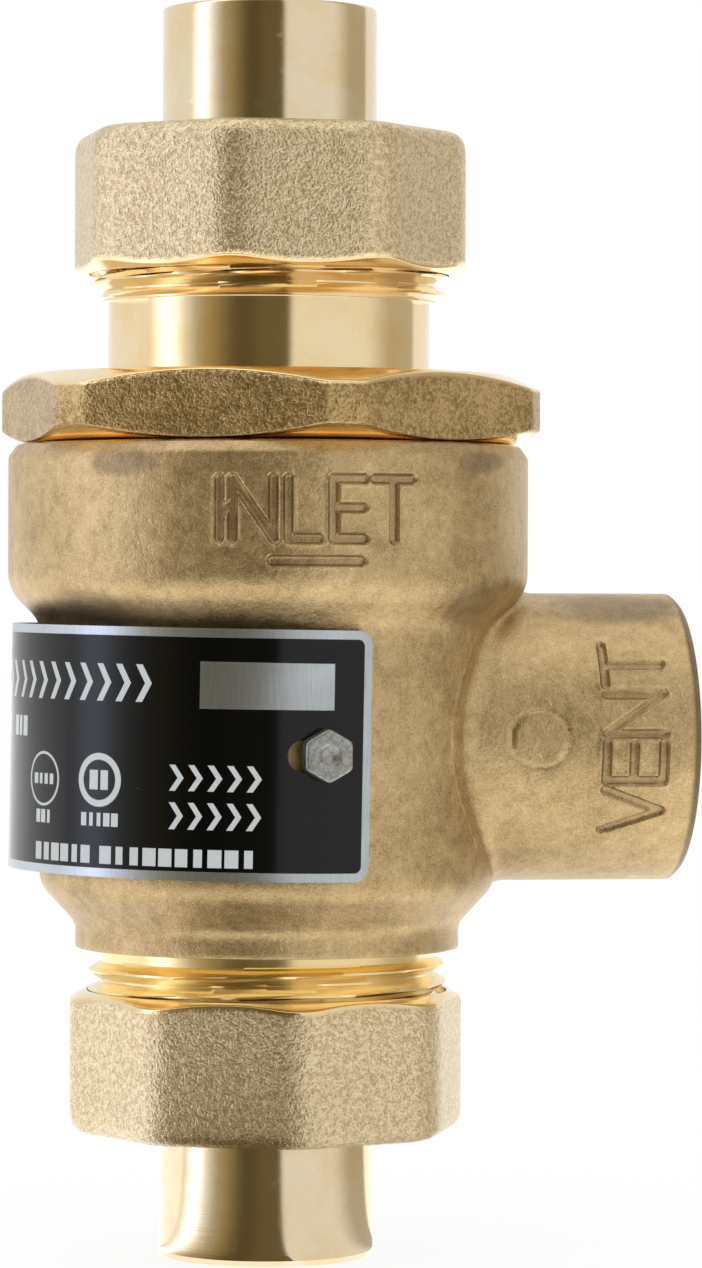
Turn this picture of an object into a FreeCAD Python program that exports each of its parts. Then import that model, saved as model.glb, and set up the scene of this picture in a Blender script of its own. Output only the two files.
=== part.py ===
import FreeCAD, Part
import math
import os

import Sketcher
from FreeCAD import Placement, Rotation, Vector

# Dual check valve with an intermediate vent, for copper tube. The water runs down through it:
# solder tailpiece, union nut, bonnet, body, union nut, solder tailpiece. The vent points along +X.
# The origin is the middle of the outlet socket's mouth, and every height is counted up from there.

OUTPUT_FOLDER = "parts"
NUT_SIDES = 8
HEXAGON_SIDES = 6
STRAINER_SLOTS = 10
GUIDE_LEGS = 4
SPRING_STEPS = 16
SPRING_WIRE_SIDES = 8
O_RING_SIDES = 8

# Driving sizes, in millimetres and degrees: alias, value
SIZES = [
    # Solder tailpieces, the same at both ends
    ("tail_length", 20.5),
    ("tail_outer_radius", 12.5),
    ("tail_rim_chamfer", 0.35),
    ("socket_radius", 11.16),
    ("socket_depth", 19.0),
    ("waterway_radius", 9.5),
    ("collar_radius", 18.3),
    ("collar_thickness", 3.0),
    ("gasket_thickness", 2.0),
    ("gasket_inner_radius", 10.5),
    ("gasket_outer_radius", 19.0),
    # Union nuts, the same at both ends
    ("nut_setback", 14.4),
    ("nut_height", 16.7),
    ("nut_across_flats", 43.9),
    ("nut_bevel", 2.85),
    ("nut_shoulder_rounding", 2.0),
    ("nut_mouth_land", 0.3),
    ("nut_chamfer_angle", 30.0),
    ("nut_on_tail_clearance", 0.4),
    ("inlet_nut_turn", 2.8),
    ("outlet_nut_turn", 24.2),
    # Union threads: the ridges stand between the root and the crest
    ("thread_root_radius", 19.475),
    ("thread_crest_radius", 20.955),
    ("thread_clearance", 0.1),
    ("thread_lead_in", 0.8),
    ("inlet_thread_length", 11.8),
    ("outlet_thread_length", 13.5),
    # Bonnet
    ("hexagon_across_flats", 57.7),
    ("hexagon_bevel", 4.6),
    ("hexagon_height", 8.1),
    ("hexagon_chamfer_start", 28.25),
    ("hexagon_chamfer_angle", 24.5),
    ("hexagon_turn", 7.0),
    ("neck_radius", 18.75),
    ("neck_length", 8.5),
    ("bonnet_bore_radius", 14.0),
    ("bonnet_bore_length", 17.9),
    ("bonnet_cavity_radius", 22.5),
    ("bonnet_cavity_height", 9.8),
    # Body, from the outlet up
    ("body_collar_radius", 22.4),
    ("body_collar_length", 2.9),
    ("cone_length", 4.5),
    ("barrel_radius", 26.6),
    ("barrel_length", 30.5),
    ("cup_radius", 30.35),
    ("cup_length", 15.4),
    ("lip_radius", 29.3),
    ("lip_length", 1.45),
    # Vent boss and vent port
    ("vent_height", 17.1),
    ("vent_reach", 48.3),
    ("vent_outer_radius", 16.9),
    ("vent_bore_radius", 10.5),
    ("vent_thread_length", 16.4),
    ("vent_passage_radius", 8.5),
    ("vent_chamfer", 0.8),
    # Inside of the body
    ("bonnet_seat_radius", 27.0),
    ("bonnet_seat_depth", 10.5),
    ("bonnet_clearance", 0.1),
    ("chamber_radius", 23.0),
    ("chamber_sump", 0.5),
    ("riser_outer_radius", 16.5),
    ("riser_bore_radius", 14.0),
    ("throat_radius", 12.0),
    ("throat_length", 12.0),
    ("outlet_bore_radius", 13.5),
    ("outlet_bore_length", 29.5),
    # Diaphragm and what clamps it
    ("diaphragm_thickness", 2.0),
    ("diaphragm_hole_radius", 8.5),
    ("diaphragm_flat_radius", 18.6),
    ("diaphragm_rim_clearance", 0.3),
    ("slip_ring_thickness", 1.2),
    ("seal_thickness", 2.2),
    ("seal_inner_radius", 13.7),
    ("seal_outer_radius", 17.2),
    ("seal_travel", 1.2),
    # Check valve discs, the same in both checks
    ("disc_radius", 10.4),
    ("disc_thickness", 2.5),
    ("holder_radius", 11.4),
    ("holder_clearance", 0.1),
    ("holder_base", 2.5),
    ("holder_rim_height", 1.5),
    ("stem_radius", 2.0),
    ("screw_radius", 1.25),
    ("screw_length", 4.4),
    ("screw_clearance", 0.08),
    ("screw_head_radius", 3.4),
    ("screw_head_height", 1.6),
    ("screw_slot_width", 0.8),
    ("screw_slot_depth", 0.7),
    # Guides and springs
    ("guide_ring_width", 1.3),
    ("guide_ring_height", 3.0),
    ("guide_clearance", 0.1),
    ("guide_leg_width", 1.6),
    ("guide_leg_height", 2.0),
    ("hub_radius", 3.6),
    ("hub_height", 5.0),
    ("stem_clearance", 0.06),
    ("stem_overhang", 3.0),
    ("spring_radius", 5.2),
    ("spring_wire", 0.9),
    ("primary_spring_turns", 5.5),
    ("secondary_spring_turns", 4.0),
    # Secondary seat
    ("seat_thickness", 3.0),
    ("seat_hole_radius", 9.0),
    ("seat_clearance", 0.1),
    ("retaining_ring_thickness", 1.0),
    ("retaining_ring_width", 1.9),
    ("retaining_groove_depth", 0.8),
    ("retaining_ring_clearance", 0.1),
    ("retaining_ring_sweep", 325.0),
    ("retaining_ring_height", 7.9),
    # O-rings: the radius of the section, and the groove's room round it
    ("seat_o_ring_section", 0.72),
    ("bonnet_o_ring_section", 1.05),
    ("bonnet_o_ring_height", 4.5),
    ("o_ring_room", 0.05),
    # Inlet strainer
    ("strainer_flange_radius", 16.4),
    ("strainer_flange_clearance", 0.2),
    ("strainer_radius", 12.0),
    ("strainer_wall", 0.9),
    ("strainer_length", 19.0),
    ("strainer_slot_width", 2.2),
    ("strainer_slot_margin", 3.0),
    # Nameplate and its screws; angles are counted round +Z from +X
    ("plate_thickness", 0.6),
    ("plate_seat_gap", 0.15),
    ("plate_offset", 2.8),
    ("plate_middle_angle", -162.4),
    ("plate_half_sweep", 94.85),
    ("plate_height", 28.2),
    ("plate_rise", 15.8),
    ("plate_corner_radius", 1.8),
    ("plate_tilt", -0.85),
    ("plate_tilt_axis_angle", -99.4),
    ("plate_slot_height", 3.6),
    ("plate_slot_length", 6.3),
    ("plate_slot_shift", 1.15),
    ("plate_screw_right_angle", -85.15),
    ("plate_screw_left_angle", 119.6),
    ("plate_screw_across_flats", 5.4),
    ("plate_screw_head_height", 2.1),
    ("plate_screw_head_gap", 0.25),
    ("plate_screw_radius", 1.4),
    ("plate_screw_depth", 2.4),
    ("plate_screw_clearance", 0.08),
    ("plate_screw_dimple_radius", 1.3),
    ("plate_screw_dimple_depth", 0.5),
]

# Heights that follow from the sizes, in order: name, expression
LEVELS = [
    ("outlet_seat", "sizes.tail_length + sizes.gasket_thickness"),
    ("body_collar_low", "levels.outlet_seat + sizes.outlet_thread_length"),
    ("cone_low", "levels.body_collar_low + sizes.body_collar_length"),
    ("barrel_low", "levels.cone_low + sizes.cone_length"),
    ("barrel_high", "levels.barrel_low + sizes.barrel_length"),
    ("cup_low", "levels.barrel_high + sizes.cup_radius - sizes.barrel_radius"),
    ("cup_high", "levels.cup_low + sizes.cup_length"),
    ("body_top", "levels.cup_high + sizes.lip_length"),
    ("hexagon_high", "levels.body_top + sizes.hexagon_height"),
    ("neck_high", "levels.hexagon_high + sizes.neck_length"),
    ("inlet_seat", "levels.neck_high + sizes.inlet_thread_length"),
    ("overall", "levels.inlet_seat + sizes.gasket_thickness + sizes.tail_length"),
    ("vent_axis", "levels.barrel_low + sizes.vent_height"),
    ("chamber_floor", "levels.vent_axis - sizes.vent_bore_radius - sizes.chamber_sump"),
    ("seat_stop", "levels.outlet_seat + sizes.outlet_bore_length"),
    ("riser_step", "levels.seat_stop + sizes.throat_length"),
    ("ledge", "levels.body_top - sizes.bonnet_seat_depth"),
    ("riser_rim", "levels.ledge - sizes.seal_thickness"),
    ("diaphragm_web", "levels.ledge + sizes.seal_travel"),
    ("slip_ring_low", "levels.ledge + sizes.diaphragm_thickness"),
    ("skirt_low", "levels.slip_ring_low + sizes.slip_ring_thickness"),
    ("bonnet_o_ring_middle", "levels.skirt_low + sizes.bonnet_o_ring_height"),
    ("secondary_seat_low", "levels.seat_stop - sizes.seat_thickness"),
    ("seat_o_ring_middle", "levels.seat_stop - sizes.seat_thickness / 2"),
    ("retaining_ring_low", "levels.outlet_seat + sizes.retaining_ring_height"),
    ("secondary_guide_low", "levels.retaining_ring_low + sizes.retaining_ring_thickness"),
    ("strainer_bottom", "levels.inlet_seat - sizes.strainer_length"),
    ("plate_middle", "levels.barrel_low + sizes.plate_rise"),
]

# Radii that follow from the pieces that they fit: name, expression
FITS = [
    ("nut_bore", "sizes.thread_crest_radius + sizes.thread_clearance"),
    ("nut_on_tail", "sizes.tail_outer_radius + sizes.nut_on_tail_clearance"),
    ("skirt", "sizes.bonnet_seat_radius - sizes.bonnet_clearance"),
    ("strainer_seat", "sizes.strainer_flange_radius + sizes.strainer_flange_clearance"),
    ("diaphragm_rim", "sizes.bonnet_seat_radius - sizes.diaphragm_rim_clearance"),
    ("screw_hole", "sizes.screw_radius + sizes.screw_clearance"),
    ("hub_bore", "sizes.stem_radius + sizes.stem_clearance"),
    ("seat_outer", "sizes.outlet_bore_radius - sizes.seat_clearance"),
    ("seat_o_ring", "fits.seat_outer - sizes.seat_o_ring_section"),
    ("seat_o_ring_groove", "fits.seat_o_ring - sizes.seat_o_ring_section - sizes.o_ring_room"),
    ("bonnet_o_ring", "fits.skirt + sizes.o_ring_room - sizes.bonnet_o_ring_section"),
    ("bonnet_o_ring_groove", "fits.bonnet_o_ring - sizes.bonnet_o_ring_section - sizes.o_ring_room"),
    ("retaining_groove", "sizes.outlet_bore_radius + sizes.retaining_groove_depth"),
    ("retaining_ring_outer", "fits.retaining_groove - sizes.retaining_ring_clearance"),
    ("retaining_ring_inner", "fits.retaining_ring_outer - sizes.retaining_ring_width"),
    ("plate_inner", "sqrt((sizes.barrel_radius + sizes.plate_seat_gap)^2"
        " - (sizes.plate_offset * sin(sizes.plate_half_sweep))^2)"
        " - sizes.plate_offset * cos(sizes.plate_half_sweep)"),
    ("plate_outer", "fits.plate_inner + sizes.plate_thickness"),
    ("right_screw_turn", "sizes.plate_screw_right_angle - sizes.plate_middle_angle"),
    ("left_screw_turn", "sizes.plate_screw_left_angle - sizes.plate_middle_angle"),
    ("right_screw_seat", "sizes.plate_offset * cos(fits.right_screw_turn) + sizes.plate_screw_head_gap"
        " + sqrt(fits.plate_outer^2 - (sizes.plate_offset * sin(fits.right_screw_turn))^2)"),
    ("left_screw_seat", "sizes.plate_offset * cos(fits.left_screw_turn) + sizes.plate_screw_head_gap"
        " + sqrt(fits.plate_outer^2 - (sizes.plate_offset * sin(fits.left_screw_turn))^2)"),
    ("plate_screw_tip", "sizes.barrel_radius - sizes.plate_screw_depth"),
]

doc = FreeCAD.newDocument("dual_check_valve")


def fill_sheet():
    """The spreadsheet with one row for each driving size."""
    sheet = doc.addObject("Spreadsheet::Sheet", "sizes")
    for row, (alias, value) in enumerate(SIZES, start=1):
        sheet.set(f"A{row}", alias)
        sheet.set(f"B{row}", str(value))
        sheet.setAlias(f"B{row}", alias)
    doc.recompute()
    return sheet


def fill_variables(name, rows):
    """A set of named numbers, each bound to the sheet by its expression."""
    variables = doc.addObject("App::VarSet", name)
    for alias, expression in rows:
        variables.addProperty("App::PropertyFloat", alias)
        variables.setExpression(alias, expression.replace(f"{name}.", ""))
    doc.recompute()
    return variables


sizes = fill_sheet()
levels = fill_variables("levels", LEVELS)
fits = fill_variables("fits", FITS)


def origin_feature(body, role):
    """The body's own origin plane or axis with this role."""
    return next(item for item in body.Origin.OriginFeatures if item.Role == role)


def new_body(label):
    """An empty body whose label names its file."""
    body = doc.addObject("PartDesign::Body", f"{label}_body")
    body.Label = label
    return body


def new_sketch(body, name, plane, **offsets):
    """A sketch on one of the body's origin planes, moved by the given expressions (x, y or z)."""
    sketch = body.newObject("Sketcher::SketchObject", name)
    sketch.AttachmentSupport = [(origin_feature(body, plane), "")]
    sketch.MapMode = "FlatFace"
    for direction, expression in offsets.items():
        sketch.setExpression(f"AttachmentOffset.Base.{direction}", expression)
    return sketch


def fix_point(sketch, index, position, x, y):
    """Ties one end of a line or arc, or its middle, to the place that two expressions give."""
    for kind, expression, axis in (("DistanceX", x, -2), ("DistanceY", y, -1)):
        if expression == "0":
            sketch.addConstraint(Sketcher.Constraint("PointOnObject", index, position, axis))
            continue
        value = float(sketch.evalExpression(expression))
        row = sketch.addConstraint(Sketcher.Constraint(kind, -1, 1, index, position, value))
        sketch.setExpression(f"Constraints[{row}]", expression)


def outline(sketch, corners):
    """A closed outline of straight lines through corners given as pairs of expressions."""
    places = [
        Vector(float(sketch.evalExpression(x)), float(sketch.evalExpression(y)), 0) for x, y in corners
    ]
    count = len(corners)
    for number in range(count):
        sketch.addGeometry(Part.LineSegment(places[number], places[(number + 1) % count]), False)
    for number in range(count):
        sketch.addConstraint(Sketcher.Constraint("Coincident", number, 2, (number + 1) % count, 1))
    for number, (x, y) in enumerate(corners):
        fix_point(sketch, number, 1, x, y)


def circle(sketch, x, y, radius):
    """A circle bound to the expressions for its middle and its radius."""
    middle = Vector(float(sketch.evalExpression(x)), float(sketch.evalExpression(y)), 0)
    value = float(sketch.evalExpression(radius))
    index = sketch.addGeometry(Part.Circle(middle, Vector(0, 0, 1), value), False)
    fix_point(sketch, index, 3, x, y)
    row = sketch.addConstraint(Sketcher.Constraint("Radius", index, value))
    sketch.setExpression(f"Constraints[{row}]", radius)


def finish(body, feature):
    """Makes the feature the body's tip, works it out and gives it back."""
    body.Tip = feature
    doc.recompute()
    return feature


def turned(body, name, corners, sweep=None):
    """A turned solid: the half-section's corners are (radius, height), spun about +Z."""
    sketch = new_sketch(body, f"{name}_section", "XZ_Plane")
    outline(sketch, corners)
    solid = body.newObject("PartDesign::Revolution", name)
    solid.Profile = sketch
    solid.ReferenceAxis = (sketch, ["V_Axis"])
    if sweep:
        solid.setExpression("Angle", sweep)
    return finish(body, solid)


def turned_away(body, name, corners):
    """A turned cut: what the half-section sweeps about +Z is taken from the body."""
    sketch = new_sketch(body, f"{name}_section", "XZ_Plane")
    outline(sketch, corners)
    cut = body.newObject("PartDesign::Groove", name)
    cut.Profile = sketch
    cut.ReferenceAxis = (sketch, ["V_Axis"])
    return finish(body, cut)


def ring_corners(inner, outer, low, high):
    """The four corners of a plain ring's half-section."""
    return [(inner, low), (outer, low), (outer, high), (inner, high)]


def bevelled_polygon(sketch, sides, across_flats, bevel):
    """A regular polygon with bevelled corners; the middle of its first flat faces local +X."""
    half = f"{across_flats} / 2"
    reach = f"({half} * tan({180 / sides}) - {bevel} / 2 / cos({180 / sides}))"
    corners = []
    for number in range(sides):
        angle = 360 / sides * number
        for sign in ("-", "+"):
            x = f"{half} * cos({angle}) - ({sign}{reach}) * sin({angle})"
            y = f"{half} * sin({angle}) + ({sign}{reach}) * cos({angle})"
            corners.append((x, y))
    outline(sketch, corners)


def prism(body, name, sides, across_flats, bevel, low, height):
    """An upright prism with flats, from the level low up through the height."""
    sketch = new_sketch(body, f"{name}_outline", "XY_Plane", z=low)
    bevelled_polygon(sketch, sides, across_flats, bevel)
    solid = body.newObject("PartDesign::Pad", name)
    solid.Profile = sketch
    solid.setExpression("Length", height)
    return finish(body, solid)


def edges_at_level(shape, level):
    """The names of the straight edges that lie flat at one height."""
    names = []
    for number, edge in enumerate(shape.Edges, start=1):
        flat = all(abs(vertex.Z - level) < 1e-4 for vertex in edge.Vertexes)
        if flat and isinstance(edge.Curve, Part.Line):
            names.append(f"Edge{number}")
    return names


def polar_pattern(body, feature, count):
    """Repeats the feature evenly round +Z."""
    pattern = body.newObject("PartDesign::PolarPattern", f"{feature.Name}_pattern")
    pattern.Originals = [feature]
    pattern.Axis = (origin_feature(body, "Z_Axis"), [""])
    pattern.Angle = 360
    pattern.Occurrences = count
    return finish(body, pattern)


def turn_over(body, height, turn):
    """Hangs a piece that was drawn from height 0 up down from this height, turned round +Z."""
    over = Rotation(Vector(1, 0, 0), 180)
    body.Placement = Placement(Vector(0, 0, 0), Rotation(Vector(0, 0, 1), turn) * over)
    body.setExpression("Placement.Base.z", height)


def tailpiece(label):
    """A solder tailpiece, with its socket's mouth at height 0 and its collar at the far end."""
    body = new_body(label)
    rim = "sizes.tail_outer_radius - sizes.tail_rim_chamfer"
    collar_low = "sizes.tail_length - sizes.collar_thickness"
    turned(body, f"{label}_turning", [
        ("sizes.socket_radius", "0"),
        (rim, "0"),
        ("sizes.tail_outer_radius", "sizes.tail_rim_chamfer"),
        ("sizes.tail_outer_radius", collar_low),
        ("sizes.collar_radius", collar_low),
        ("sizes.collar_radius", "sizes.tail_length"),
        ("sizes.waterway_radius", "sizes.tail_length"),
        ("sizes.waterway_radius", "sizes.socket_depth"),
        ("sizes.socket_radius", "sizes.socket_depth"),
    ])
    return body


def union_nut(label):
    """An eight-sided union nut, with its closed shoulder at height 0 and its thread mouth above."""
    body = new_body(label)
    solid = prism(body, f"{label}_flats", NUT_SIDES, "sizes.nut_across_flats", "sizes.nut_bevel",
                  "0", "sizes.nut_height")
    rounding = body.newObject("PartDesign::Fillet", f"{label}_shoulder")
    rounding.Base = (solid, edges_at_level(solid.Shape, 0))
    rounding.setExpression("Radius", "sizes.nut_shoulder_rounding")
    finish(body, rounding)
    outside = "sizes.nut_across_flats"
    start = "(fits.nut_bore + sizes.nut_mouth_land)"
    fall = f"({outside} - {start}) * tan(sizes.nut_chamfer_angle)"
    turned_away(body, f"{label}_chamfer", [
        (start, "sizes.nut_height"),
        (outside, f"sizes.nut_height - {fall}"),
        (outside, "sizes.nut_height + 1"),
        (start, "sizes.nut_height + 1"),
    ])
    floor = "sizes.tail_length - sizes.collar_thickness - sizes.nut_setback"
    turned_away(body, f"{label}_bore", [
        ("0", "-1"),
        ("fits.nut_on_tail", "-1"),
        ("fits.nut_on_tail", floor),
        ("fits.nut_bore", floor),
        ("fits.nut_bore", "sizes.nut_height + 1"),
        ("0", "sizes.nut_height + 1"),
    ])
    return body


def valve_body():
    """The cast body: turned outside, vent boss, and the bores that hold both checks."""
    body = new_body("valve_body")
    turned(body, "body_outside", [
        ("0", "levels.outlet_seat"),
        ("sizes.thread_root_radius - sizes.thread_lead_in", "levels.outlet_seat"),
        ("sizes.thread_root_radius", "levels.outlet_seat + sizes.thread_lead_in"),
        ("sizes.thread_root_radius", "levels.body_collar_low"),
        ("sizes.body_collar_radius", "levels.body_collar_low"),
        ("sizes.body_collar_radius", "levels.cone_low"),
        ("sizes.barrel_radius", "levels.barrel_low"),
        ("sizes.barrel_radius", "levels.barrel_high"),
        ("sizes.cup_radius", "levels.cup_low"),
        ("sizes.cup_radius", "levels.cup_high"),
        ("sizes.lip_radius", "levels.body_top"),
        ("0", "levels.body_top"),
    ])
    boss_sketch = new_sketch(body, "vent_boss_section", "XZ_Plane", y="levels.vent_axis")
    outline(boss_sketch, [
        ("0", "0"),
        ("0", "sizes.vent_outer_radius"),
        ("sizes.vent_reach - sizes.vent_chamfer", "sizes.vent_outer_radius"),
        ("sizes.vent_reach", "sizes.vent_outer_radius - sizes.vent_chamfer"),
        ("sizes.vent_reach", "0"),
    ])
    boss = body.newObject("PartDesign::Revolution", "vent_boss")
    boss.Profile = boss_sketch
    boss.ReferenceAxis = (boss_sketch, ["H_Axis"])
    finish(body, boss)

    turned_away(body, "body_bores", [
        ("0", "levels.outlet_seat - 1"),
        ("sizes.outlet_bore_radius", "levels.outlet_seat - 1"),
        ("sizes.outlet_bore_radius", "levels.retaining_ring_low - sizes.retaining_ring_clearance"),
        ("fits.retaining_groove", "levels.retaining_ring_low - sizes.retaining_ring_clearance"),
        ("fits.retaining_groove", "levels.secondary_guide_low"),
        ("sizes.outlet_bore_radius", "levels.secondary_guide_low"),
        ("sizes.outlet_bore_radius", "levels.seat_stop"),
        ("sizes.throat_radius", "levels.seat_stop"),
        ("sizes.throat_radius", "levels.riser_step"),
        ("sizes.riser_bore_radius", "levels.riser_step"),
        ("sizes.riser_bore_radius", "levels.riser_rim"),
        ("sizes.riser_outer_radius", "levels.riser_rim"),
        ("sizes.riser_outer_radius", "levels.chamber_floor"),
        ("sizes.chamber_radius", "levels.chamber_floor"),
        ("sizes.chamber_radius", "levels.ledge"),
        ("sizes.bonnet_seat_radius", "levels.ledge"),
        ("sizes.bonnet_seat_radius", "levels.body_top + 1"),
        ("0", "levels.body_top + 1"),
    ])
    passage_end = "(sizes.riser_outer_radius + sizes.chamber_radius) / 2"
    thread_end = "sizes.vent_reach - sizes.vent_thread_length"
    vent_sketch = new_sketch(body, "vent_port_section", "XZ_Plane", y="levels.vent_axis")
    outline(vent_sketch, [
        (passage_end, "0"),
        (passage_end, "sizes.vent_passage_radius"),
        (f"{thread_end} - (sizes.vent_bore_radius - sizes.vent_passage_radius)", "sizes.vent_passage_radius"),
        (thread_end, "sizes.vent_bore_radius"),
        ("sizes.vent_reach - sizes.vent_chamfer", "sizes.vent_bore_radius"),
        ("sizes.vent_reach", "sizes.vent_bore_radius + sizes.vent_chamfer"),
        ("sizes.vent_reach + 1", "sizes.vent_bore_radius + sizes.vent_chamfer"),
        ("sizes.vent_reach + 1", "0"),
    ])
    port = body.newObject("PartDesign::Groove", "vent_port")
    port.Profile = vent_sketch
    port.ReferenceAxis = (vent_sketch, ["H_Axis"])
    finish(body, port)

    for side in ("right", "left"):
        angle = f"sizes.plate_screw_{side}_angle"
        radial_hole(body, f"plate_hole_{side}", angle, "fits.plate_screw_tip - sizes.plate_screw_clearance")
    return body


def radial_sketch(body, name, angle, distance="0"):
    """A sketch that faces outward along this angle, at this distance, with its y axis upward."""
    sketch = new_sketch(body, name, "YZ_Plane")
    sketch.AttachmentOffset = Placement(Vector(0, 0, 0), Rotation(Vector(0, 1, 0), 1))
    sketch.setExpression("AttachmentOffset.Rotation.Angle", angle)
    sketch.setExpression("AttachmentOffset.Base.x", f"({distance}) * sin({angle})")
    sketch.setExpression("AttachmentOffset.Base.z", f"({distance}) * cos({angle})")
    return sketch


def radial_hole(body, name, angle, bottom):
    """A blind screw hole, drilled inward along this angle down to this distance from the axis."""
    sketch = radial_sketch(body, f"{name}_circle", angle, bottom)
    circle(sketch, "0", "levels.plate_middle", "sizes.plate_screw_radius + sizes.plate_screw_clearance")
    cut = body.newObject("PartDesign::Pocket", name)
    cut.Profile = sketch
    cut.Reversed = True
    cut.setExpression("Length", "sizes.barrel_radius")
    return finish(body, cut)


def inlet_bonnet():
    """The bonnet: hexagon, skirt that closes the body, neck, and the inlet union's thread end."""
    body = new_body("inlet_bonnet")
    prism(body, "bonnet_hexagon", HEXAGON_SIDES, "sizes.hexagon_across_flats", "sizes.hexagon_bevel",
          "levels.body_top", "sizes.hexagon_height")
    groove_half = "(sizes.bonnet_o_ring_section + sizes.o_ring_room)"
    middle = "levels.bonnet_o_ring_middle"
    inside_hexagon = "levels.body_top + sizes.hexagon_height / 2"
    turned(body, "bonnet_turning", [
        ("0", "levels.skirt_low"),
        ("fits.skirt", "levels.skirt_low"),
        ("fits.skirt", f"{middle} - {groove_half}"),
        ("fits.bonnet_o_ring_groove", f"{middle} - {groove_half}"),
        ("fits.bonnet_o_ring_groove", f"{middle} + {groove_half}"),
        ("fits.skirt", f"{middle} + {groove_half}"),
        ("fits.skirt", inside_hexagon),
        ("sizes.neck_radius", inside_hexagon),
        ("sizes.neck_radius", "levels.neck_high"),
        ("sizes.thread_root_radius", "levels.neck_high"),
        ("sizes.thread_root_radius", "levels.inlet_seat - sizes.thread_lead_in"),
        ("sizes.thread_root_radius - sizes.thread_lead_in", "levels.inlet_seat"),
        ("0", "levels.inlet_seat"),
    ])
    outside = "sizes.hexagon_across_flats"
    fall = f"({outside} - sizes.hexagon_chamfer_start) * tan(sizes.hexagon_chamfer_angle)"
    turned_away(body, "hexagon_chamfer_top", [
        ("sizes.hexagon_chamfer_start", "levels.hexagon_high"),
        (outside, f"levels.hexagon_high - {fall}"),
        (outside, "levels.hexagon_high + 1"),
        ("sizes.hexagon_chamfer_start", "levels.hexagon_high + 1"),
    ])
    turned_away(body, "hexagon_chamfer_bottom", [
        ("sizes.hexagon_chamfer_start", "levels.body_top"),
        ("sizes.hexagon_chamfer_start", "levels.body_top - 1"),
        (outside, "levels.body_top - 1"),
        (outside, f"levels.body_top + {fall}"),
    ])
    turned_away(body, "bonnet_bores", [
        ("0", "levels.skirt_low - 1"),
        ("sizes.bonnet_cavity_radius", "levels.skirt_low - 1"),
        ("sizes.bonnet_cavity_radius", "levels.skirt_low + sizes.bonnet_cavity_height"),
        ("sizes.bonnet_bore_radius", "levels.inlet_seat - sizes.bonnet_bore_length"),
        ("sizes.bonnet_bore_radius", "levels.inlet_seat - sizes.strainer_wall"),
        ("fits.strainer_seat", "levels.inlet_seat - sizes.strainer_wall"),
        ("fits.strainer_seat", "levels.inlet_seat + 1"),
        ("0", "levels.inlet_seat + 1"),
    ])
    body.Placement = Placement(Vector(0, 0, 0), Rotation(Vector(0, 0, 1), 1))
    body.setExpression("Placement.Rotation.Angle", "sizes.hexagon_turn")
    return body


def plain_ring(label, inner, outer, low, high):
    """A plain flat ring, such as a gasket."""
    body = new_body(label)
    turned(body, f"{label}_turning", ring_corners(inner, outer, low, high))
    return body


def o_ring(label, radius, section, middle):
    """An O-ring round the radius at this height, its round section drawn with flats."""
    body = new_body(label)
    half_side = 180 / O_RING_SIDES
    reach = f"{section} / cos({half_side})"
    corners = []
    for number in range(O_RING_SIDES):
        angle = (2 * number + 1) * half_side
        corners.append((f"{radius} + {reach} * cos({angle})", f"{middle} + {reach} * sin({angle})"))
    turned(body, f"{label}_moulding", corners)
    return body


def inlet_strainer():
    """A thin cup with a flange and slots, hung in the bonnet's bore."""
    body = new_body("inlet_strainer")
    inner = "sizes.strainer_radius - sizes.strainer_wall"
    bottom = "levels.strainer_bottom"
    top = "levels.inlet_seat"
    turned(body, "strainer_cup", [
        ("0", bottom),
        ("sizes.strainer_radius", bottom),
        ("sizes.strainer_radius", f"{top} - sizes.strainer_wall"),
        ("sizes.strainer_flange_radius", f"{top} - sizes.strainer_wall"),
        ("sizes.strainer_flange_radius", top),
        (inner, top),
        (inner, f"{bottom} + sizes.strainer_wall"),
        ("0", f"{bottom} + sizes.strainer_wall"),
    ])
    sketch = new_sketch(body, "strainer_slot_outline", "YZ_Plane")
    half = "sizes.strainer_slot_width / 2"
    low = f"{bottom} + sizes.strainer_slot_margin"
    high = f"{top} - sizes.strainer_slot_margin"
    outline(sketch, ring_corners(f"-{half}", half, low, high))
    slot = body.newObject("PartDesign::Pocket", "strainer_slot")
    slot.Profile = sketch
    slot.setExpression("Length", "sizes.strainer_flange_radius")
    finish(body, slot)
    polar_pattern(body, slot, STRAINER_SLOTS)
    return body


def diaphragm():
    """The rubber diaphragm: its rim is clamped, and its middle stands up by the seal's travel."""
    body = new_body("diaphragm")
    slope_end = "sizes.bonnet_cavity_radius"
    low = "levels.ledge"
    web = "levels.diaphragm_web"
    thick = "sizes.diaphragm_thickness"
    turned(body, "diaphragm_moulding", [
        ("sizes.diaphragm_hole_radius", web),
        ("sizes.diaphragm_flat_radius", web),
        (f"{slope_end} - sizes.seal_travel / 2", low),
        ("fits.diaphragm_rim", low),
        ("fits.diaphragm_rim", f"{low} + {thick}"),
        (slope_end, f"{low} + {thick}"),
        ("sizes.diaphragm_flat_radius", f"{web} + {thick}"),
        ("sizes.diaphragm_hole_radius", f"{web} + {thick}"),
    ])
    return body


def check_disc(prefix, contact):
    """The rubber disc of one check, whose upper face closes at the contact height."""
    low = f"{contact} - sizes.disc_thickness"
    return plain_ring(f"{prefix}_disc", "fits.screw_hole", "sizes.disc_radius", low, contact)


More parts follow.
